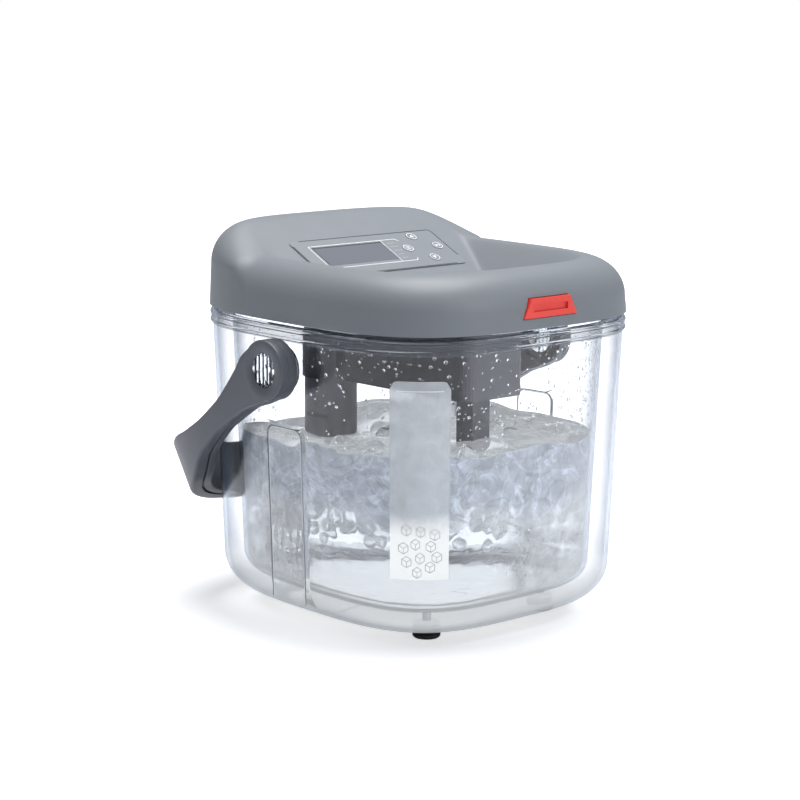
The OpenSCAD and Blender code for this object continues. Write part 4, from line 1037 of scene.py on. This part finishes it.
PW, PH, PR = 63.0, 22.0, 4.0
edge = 0.65
upper = [(-PW + 9.0, PH - edge)] + arc(PW - PR, PH - PR, PR - edge, 90, 0)
upper += [(PW - edge, -PH + 10.0)]
lower = [(PW - 9.0, -PH + edge)] + arc(-PW + PR, -PH + PR, PR - edge, 270, 180)
lower += [(-PW + edge, PH - 6.0)]
# Painted shade: a dark line round the panel for the shade in its groove, left open at two corners.
on_panel("panel_border", stroke(upper, 0.9) + stroke(lower, 0.9), FILM, mat="border")
frame_lines = stroke([(-51.5, -12.6), (-51.5, 13.9), (24.5, 13.9), (26.3, 11.2)], 0.5)
frame_lines += stroke([(11.4, 13.4), (11.4, -12.6)], 0.35)
frame_lines += stroke([(-51.5, -13.0), (24.7, -13.0), (26.4, -10.4)], 0.5)
on_panel("panel_lines", frame_lines, FILM, mat="print line")
ticks = [bar for v in (9.4, 5.0, 0.4, -4.4, -9.0)
         for bar in stroke([(14.2, v), (20.8 if v > 0 else 19.0, v)], 0.7)]
on_panel("panel_ticks", ticks, FILM, mat="mark")

KEY_U, KEY_V, KEY_P, KEY_TOP = PW - 22.1, 1.5, 13.4, 0.9
on_panel("icon_up", [[(KEY_U - 1.7, KEY_V + KEY_P - 1.2), (KEY_U + 1.7, KEY_V + KEY_P - 1.2),
                      (KEY_U, KEY_V + KEY_P + 1.7)]], KEY_TOP, "up_key")
on_panel("icon_down", [[(KEY_U - 1.7, KEY_V - KEY_P + 1.2), (KEY_U, KEY_V - KEY_P - 1.7),
                        (KEY_U + 1.7, KEY_V - KEY_P + 1.2)]], KEY_TOP, "down_key")
u, v = KEY_U - KEY_P, KEY_V
on_panel("icon_mode", [bar for k in (-1.3, 0, 1.3)
                       for bar in stroke([(u - 1.5, v + k), (u + 1.5, v + k)], 0.5)],
         KEY_TOP, "mode_key")
u = KEY_U + KEY_P
on_panel("icon_run", [[(u - 1.9, v - 1.4), (u + 0.3, v), (u - 1.9, v + 1.4)]]
         + stroke([(u + 0.9, v - 1.3), (u + 0.9, v + 1.3)], 0.5)
         + stroke([(u + 1.9, v - 1.3), (u + 1.9, v + 1.3)], 0.5),
         KEY_TOP, "run_key")
for name, du, dv in (("up_key", 0, KEY_P), ("down_key", 0, -KEY_P),
                     ("mode_key", -KEY_P, 0), ("run_key", KEY_P, 0)):
    on_panel("ring_" + name, ring_band(KEY_U + du, KEY_V + dv, 3.35, 3.8), KEY_TOP, name)
on_panel("display_edge", stroke([(-49.5, 11.7), (10.5, 11.7)], 1.0)
         + stroke([(-49.2, 12.2), (-49.2, -9.8)], 0.6), FILM, mat="rubber", thick=0.03)
print("prints on the panel:", len([n for n in SHOWN if n.startswith(("panel", "icon", "ring"))]))

# %% [markdown]
# ## Marks on the level strip, and painted shade and highlight on the pads
# The strip carries a light line at its top and a cluster of small ice signs below. A fine dark
# line of painted shade runs round each raised pad of the outer tank, with a white line of
# painted highlight just inside it.

# %% Strip and pads
STRIP_AT, STRIP_HALF, STRIP_W = 227.6, 14.6, 39.0


def on_strip(s, z, out):
    """A place on the strip: s is millimetres from its middle, out is away from the tank."""
    u = s / (STRIP_W / 2)
    t = STRIP_AT + math.copysign(abs(u) ** 1.05, u) * STRIP_HALF
    inset = wall_at(z, IN_INSET, TOP) - 1.5 - out
    return (*corner(t, W / 2 - inset, D / 2 - inset), z)


def strip_marks(name, outlines, mat):
    return piece(print_plates(name, outlines, on_strip, 0.02, 0.06), "tank", mat)


def sign(cx, cz, r=3.6):
    """A cube seen from its corner: a hexagon and three spokes."""
    six = arc(cx, cz, r, 30, 330, 5)
    made = stroke(six, 0.5, True)
    for k in (0, 2, 4):
        made += stroke([(cx, cz), six[k]], 0.4)
    return made


strip_marks("strip_line", stroke([(-15.5 + 31 * i / 12, 166.0) for i in range(13)], 0.7), "print")
signs = []
for cx, cz in [(-8.9, 78), (0.9, 77.1), (10.6, 75.2), (-10.9, 66.3), (-2.7, 68.9), (8, 67.6), (-8.8, 57.5),
               (0.6, 60), (12, 60.6), (-1.5, 50.8), (7.6, 54.3)]:
    signs += sign(cx, cz)
strip_marks("strip_signs", signs, "print sign")


def pad_line(name, side, inward, mat, half=0.36):
    """A fine painted line along the pad's edge, for its shade and for its highlight: up one side, over the
    rounded top and down the other.
    """
    y, top, r = PAD_W / 2 - inward, PAD_TOP - inward, PAD_R - inward
    path = [(y, z) for z in range(20, int(top - r), 4)] + arc(y - r, top - r, r, 0, 90)
    path += [(-a, b) for a, b in reversed(path)]
    verts, faces = [], []
    for i, (a, b) in enumerate(path):
        c, d = path[min(i + 1, len(path) - 1)], path[max(i - 1, 0)]
        l = math.hypot(c[0] - d[0], c[1] - d[1])
        across, up = (c[1] - d[1]) / l * half, -(c[0] - d[0]) / l * half
        for k in (-1, 1):
            w, z = a + across * k, b + up * k
            inset = wall_at(z, WALL_IN, BAND)
            x = (W / 2 - inset) * (1 - (abs(w) / (D / 2 - inset)) ** POWER) ** (1 / POWER) + PAD_T
            verts += [(side * (x + 0.03), w, z), (side * (x + 0.13), w, z)]
        if i:
            k = 4 * (i - 1)
            faces += [(k, k + 2, k + 6, k + 4), (k + 1, k + 5, k + 7, k + 3),
                      (k, k + 4, k + 5, k + 1), (k + 2, k + 3, k + 7, k + 6)]
    n = len(verts)
    faces += [(0, 1, 3, 2), (n - 4, n - 2, n - 1, n - 3)]
    return piece(mesh_object(name, verts, faces), "tank", mat)


# Painted shade: a dark line on each pad's step. Painted highlight: a white line in the print material just
# inside it.
for side, word in ((-1, "left"), (1, "right")):
    pad_line("pad_edge_" + word, side, 0.4, "pad shade")
    pad_line("pad_shine_" + word, side, 1.2, "print", 0.22)

print("marks on the strip and the pads done")

# %% [markdown]
# ## The studio and the camera
# A pale floor, a white surround for the eye and a softer one for the light, one large lamp above
# and a lower one at the right. The camera stands where the photographer's did.

# %% Studio
def studio():
    world = bpy.data.worlds.new("studio")
    bpy.context.scene.world = world
    world.use_nodes = True
    tree = world.node_tree
    tree.nodes.clear()
    place = node(tree, "ShaderNodeTexCoord").outputs["Generated"]
    way = node(tree, "ShaderNodeSeparateXYZ", Vector=place).outputs
    height = ramp(tree, way["Z"], 0.26, 0.95, -0.2, 1)
    side = ramp(tree, maths(tree, "ABSOLUTE", way["X"]), 1.08, 0.62)
    strength = product(tree, height, side, ramp(tree, way["X"], 0.8, 1, -1, 0))
    light = node(tree, "ShaderNodeBackground", Color=(0.95, 0.975, 1), Strength=strength)
    seen = node(tree, "ShaderNodeBackground", Color=(1, 1, 1), Strength=1.0)
    node(tree, "ShaderNodeOutputWorld", Surface=mix_shaders(
        tree, direct_view(tree), light.outputs["Background"], seen.outputs["Background"]))


def lamp(name, place, target, size, power):
    data = bpy.data.lights.new(name, "AREA")
    data.shape, data.size, data.energy = "DISK", size, power
    obj = bpy.data.objects.new(name, data)
    obj.location = place
    obj.rotation_euler = (Vector(target) - Vector(place)).to_track_quat("-Z", "Y").to_euler()
    bpy.context.collection.objects.link(obj)


studio()
lamp("top", (0.2, 0.1, 1.6), (0, 0, 0.1), 1.3, 26)
lamp("front", (0.5, -1.6, 0.8), (0, 0, 0.15), 0.9, 6)

floor = mesh_object("floor", [(-6000, -6000, 0), (6000, -6000, 0), (6000, 6000, 0), (-6000, 6000, 0)],
                    [(0, 1, 2, 3)])
MATS["floor"] = plastic("studio floor", (0.88, 0.89, 0.93), 0.6, 300, 0.01, 0.01)
tree = MATS["floor"].node_tree
away = node(tree, "ShaderNodeVectorMath", operation="LENGTH")
feed(tree, away.inputs[0], node(tree, "ShaderNodeTexCoord").outputs["Object"])
far_glow = ramp(tree, away.outputs["Value"], 0.38, 0.8, 0.25, 1.2)
# Painted light: the floor under the tank glows a little, for the light that comes through the clear tank.
painted_light_under_tank = ramp(tree, away.outputs["Value"], 0.34, 0, 0.08, 0.125)
glow = node(tree, "ShaderNodeEmission",
            Strength=product(tree, direct_view(tree), maths(tree, "ADD", far_glow, painted_light_under_tank)))
both = node(tree, "ShaderNodeAddShader")
feed(tree, both.inputs[0], output_of(tree).links[0].from_socket)
feed(tree, both.inputs[1], glow.outputs["Emission"])
feed(tree, output_of(tree), both.outputs["Shader"])
dress(floor, "floor")

camera_data = bpy.data.cameras.new("camera")
camera_data.sensor_width = 36
camera_data.lens = 105.08
camera = bpy.data.objects.new("camera", camera_data)
bpy.context.collection.objects.link(camera)
# The camera's three axes and its place come from a fit to the outlines in the photograph.
right = Vector((0.746827, -0.664997, 0.005275))
up = Vector((0.116299, 0.138412, 0.983523))
ahead = Vector((0.65477, 0.733908, -0.180708))
turn = Matrix((right, up, -ahead)).transposed()
camera.matrix_world = Matrix.Translation((-1.024574, -1.132649 + AY, 0.418687)) @ turn.to_4x4()
bpy.context.scene.camera = camera
bpy.context.scene.view_settings.view_transform = "Standard"
print("camera at", [round(v, 3) for v in camera.location])

# %% [markdown]
# ## Done
# The last line prints every piece that was made, with its count of faces.

# %% Finish
print("pieces:", SHOWN)
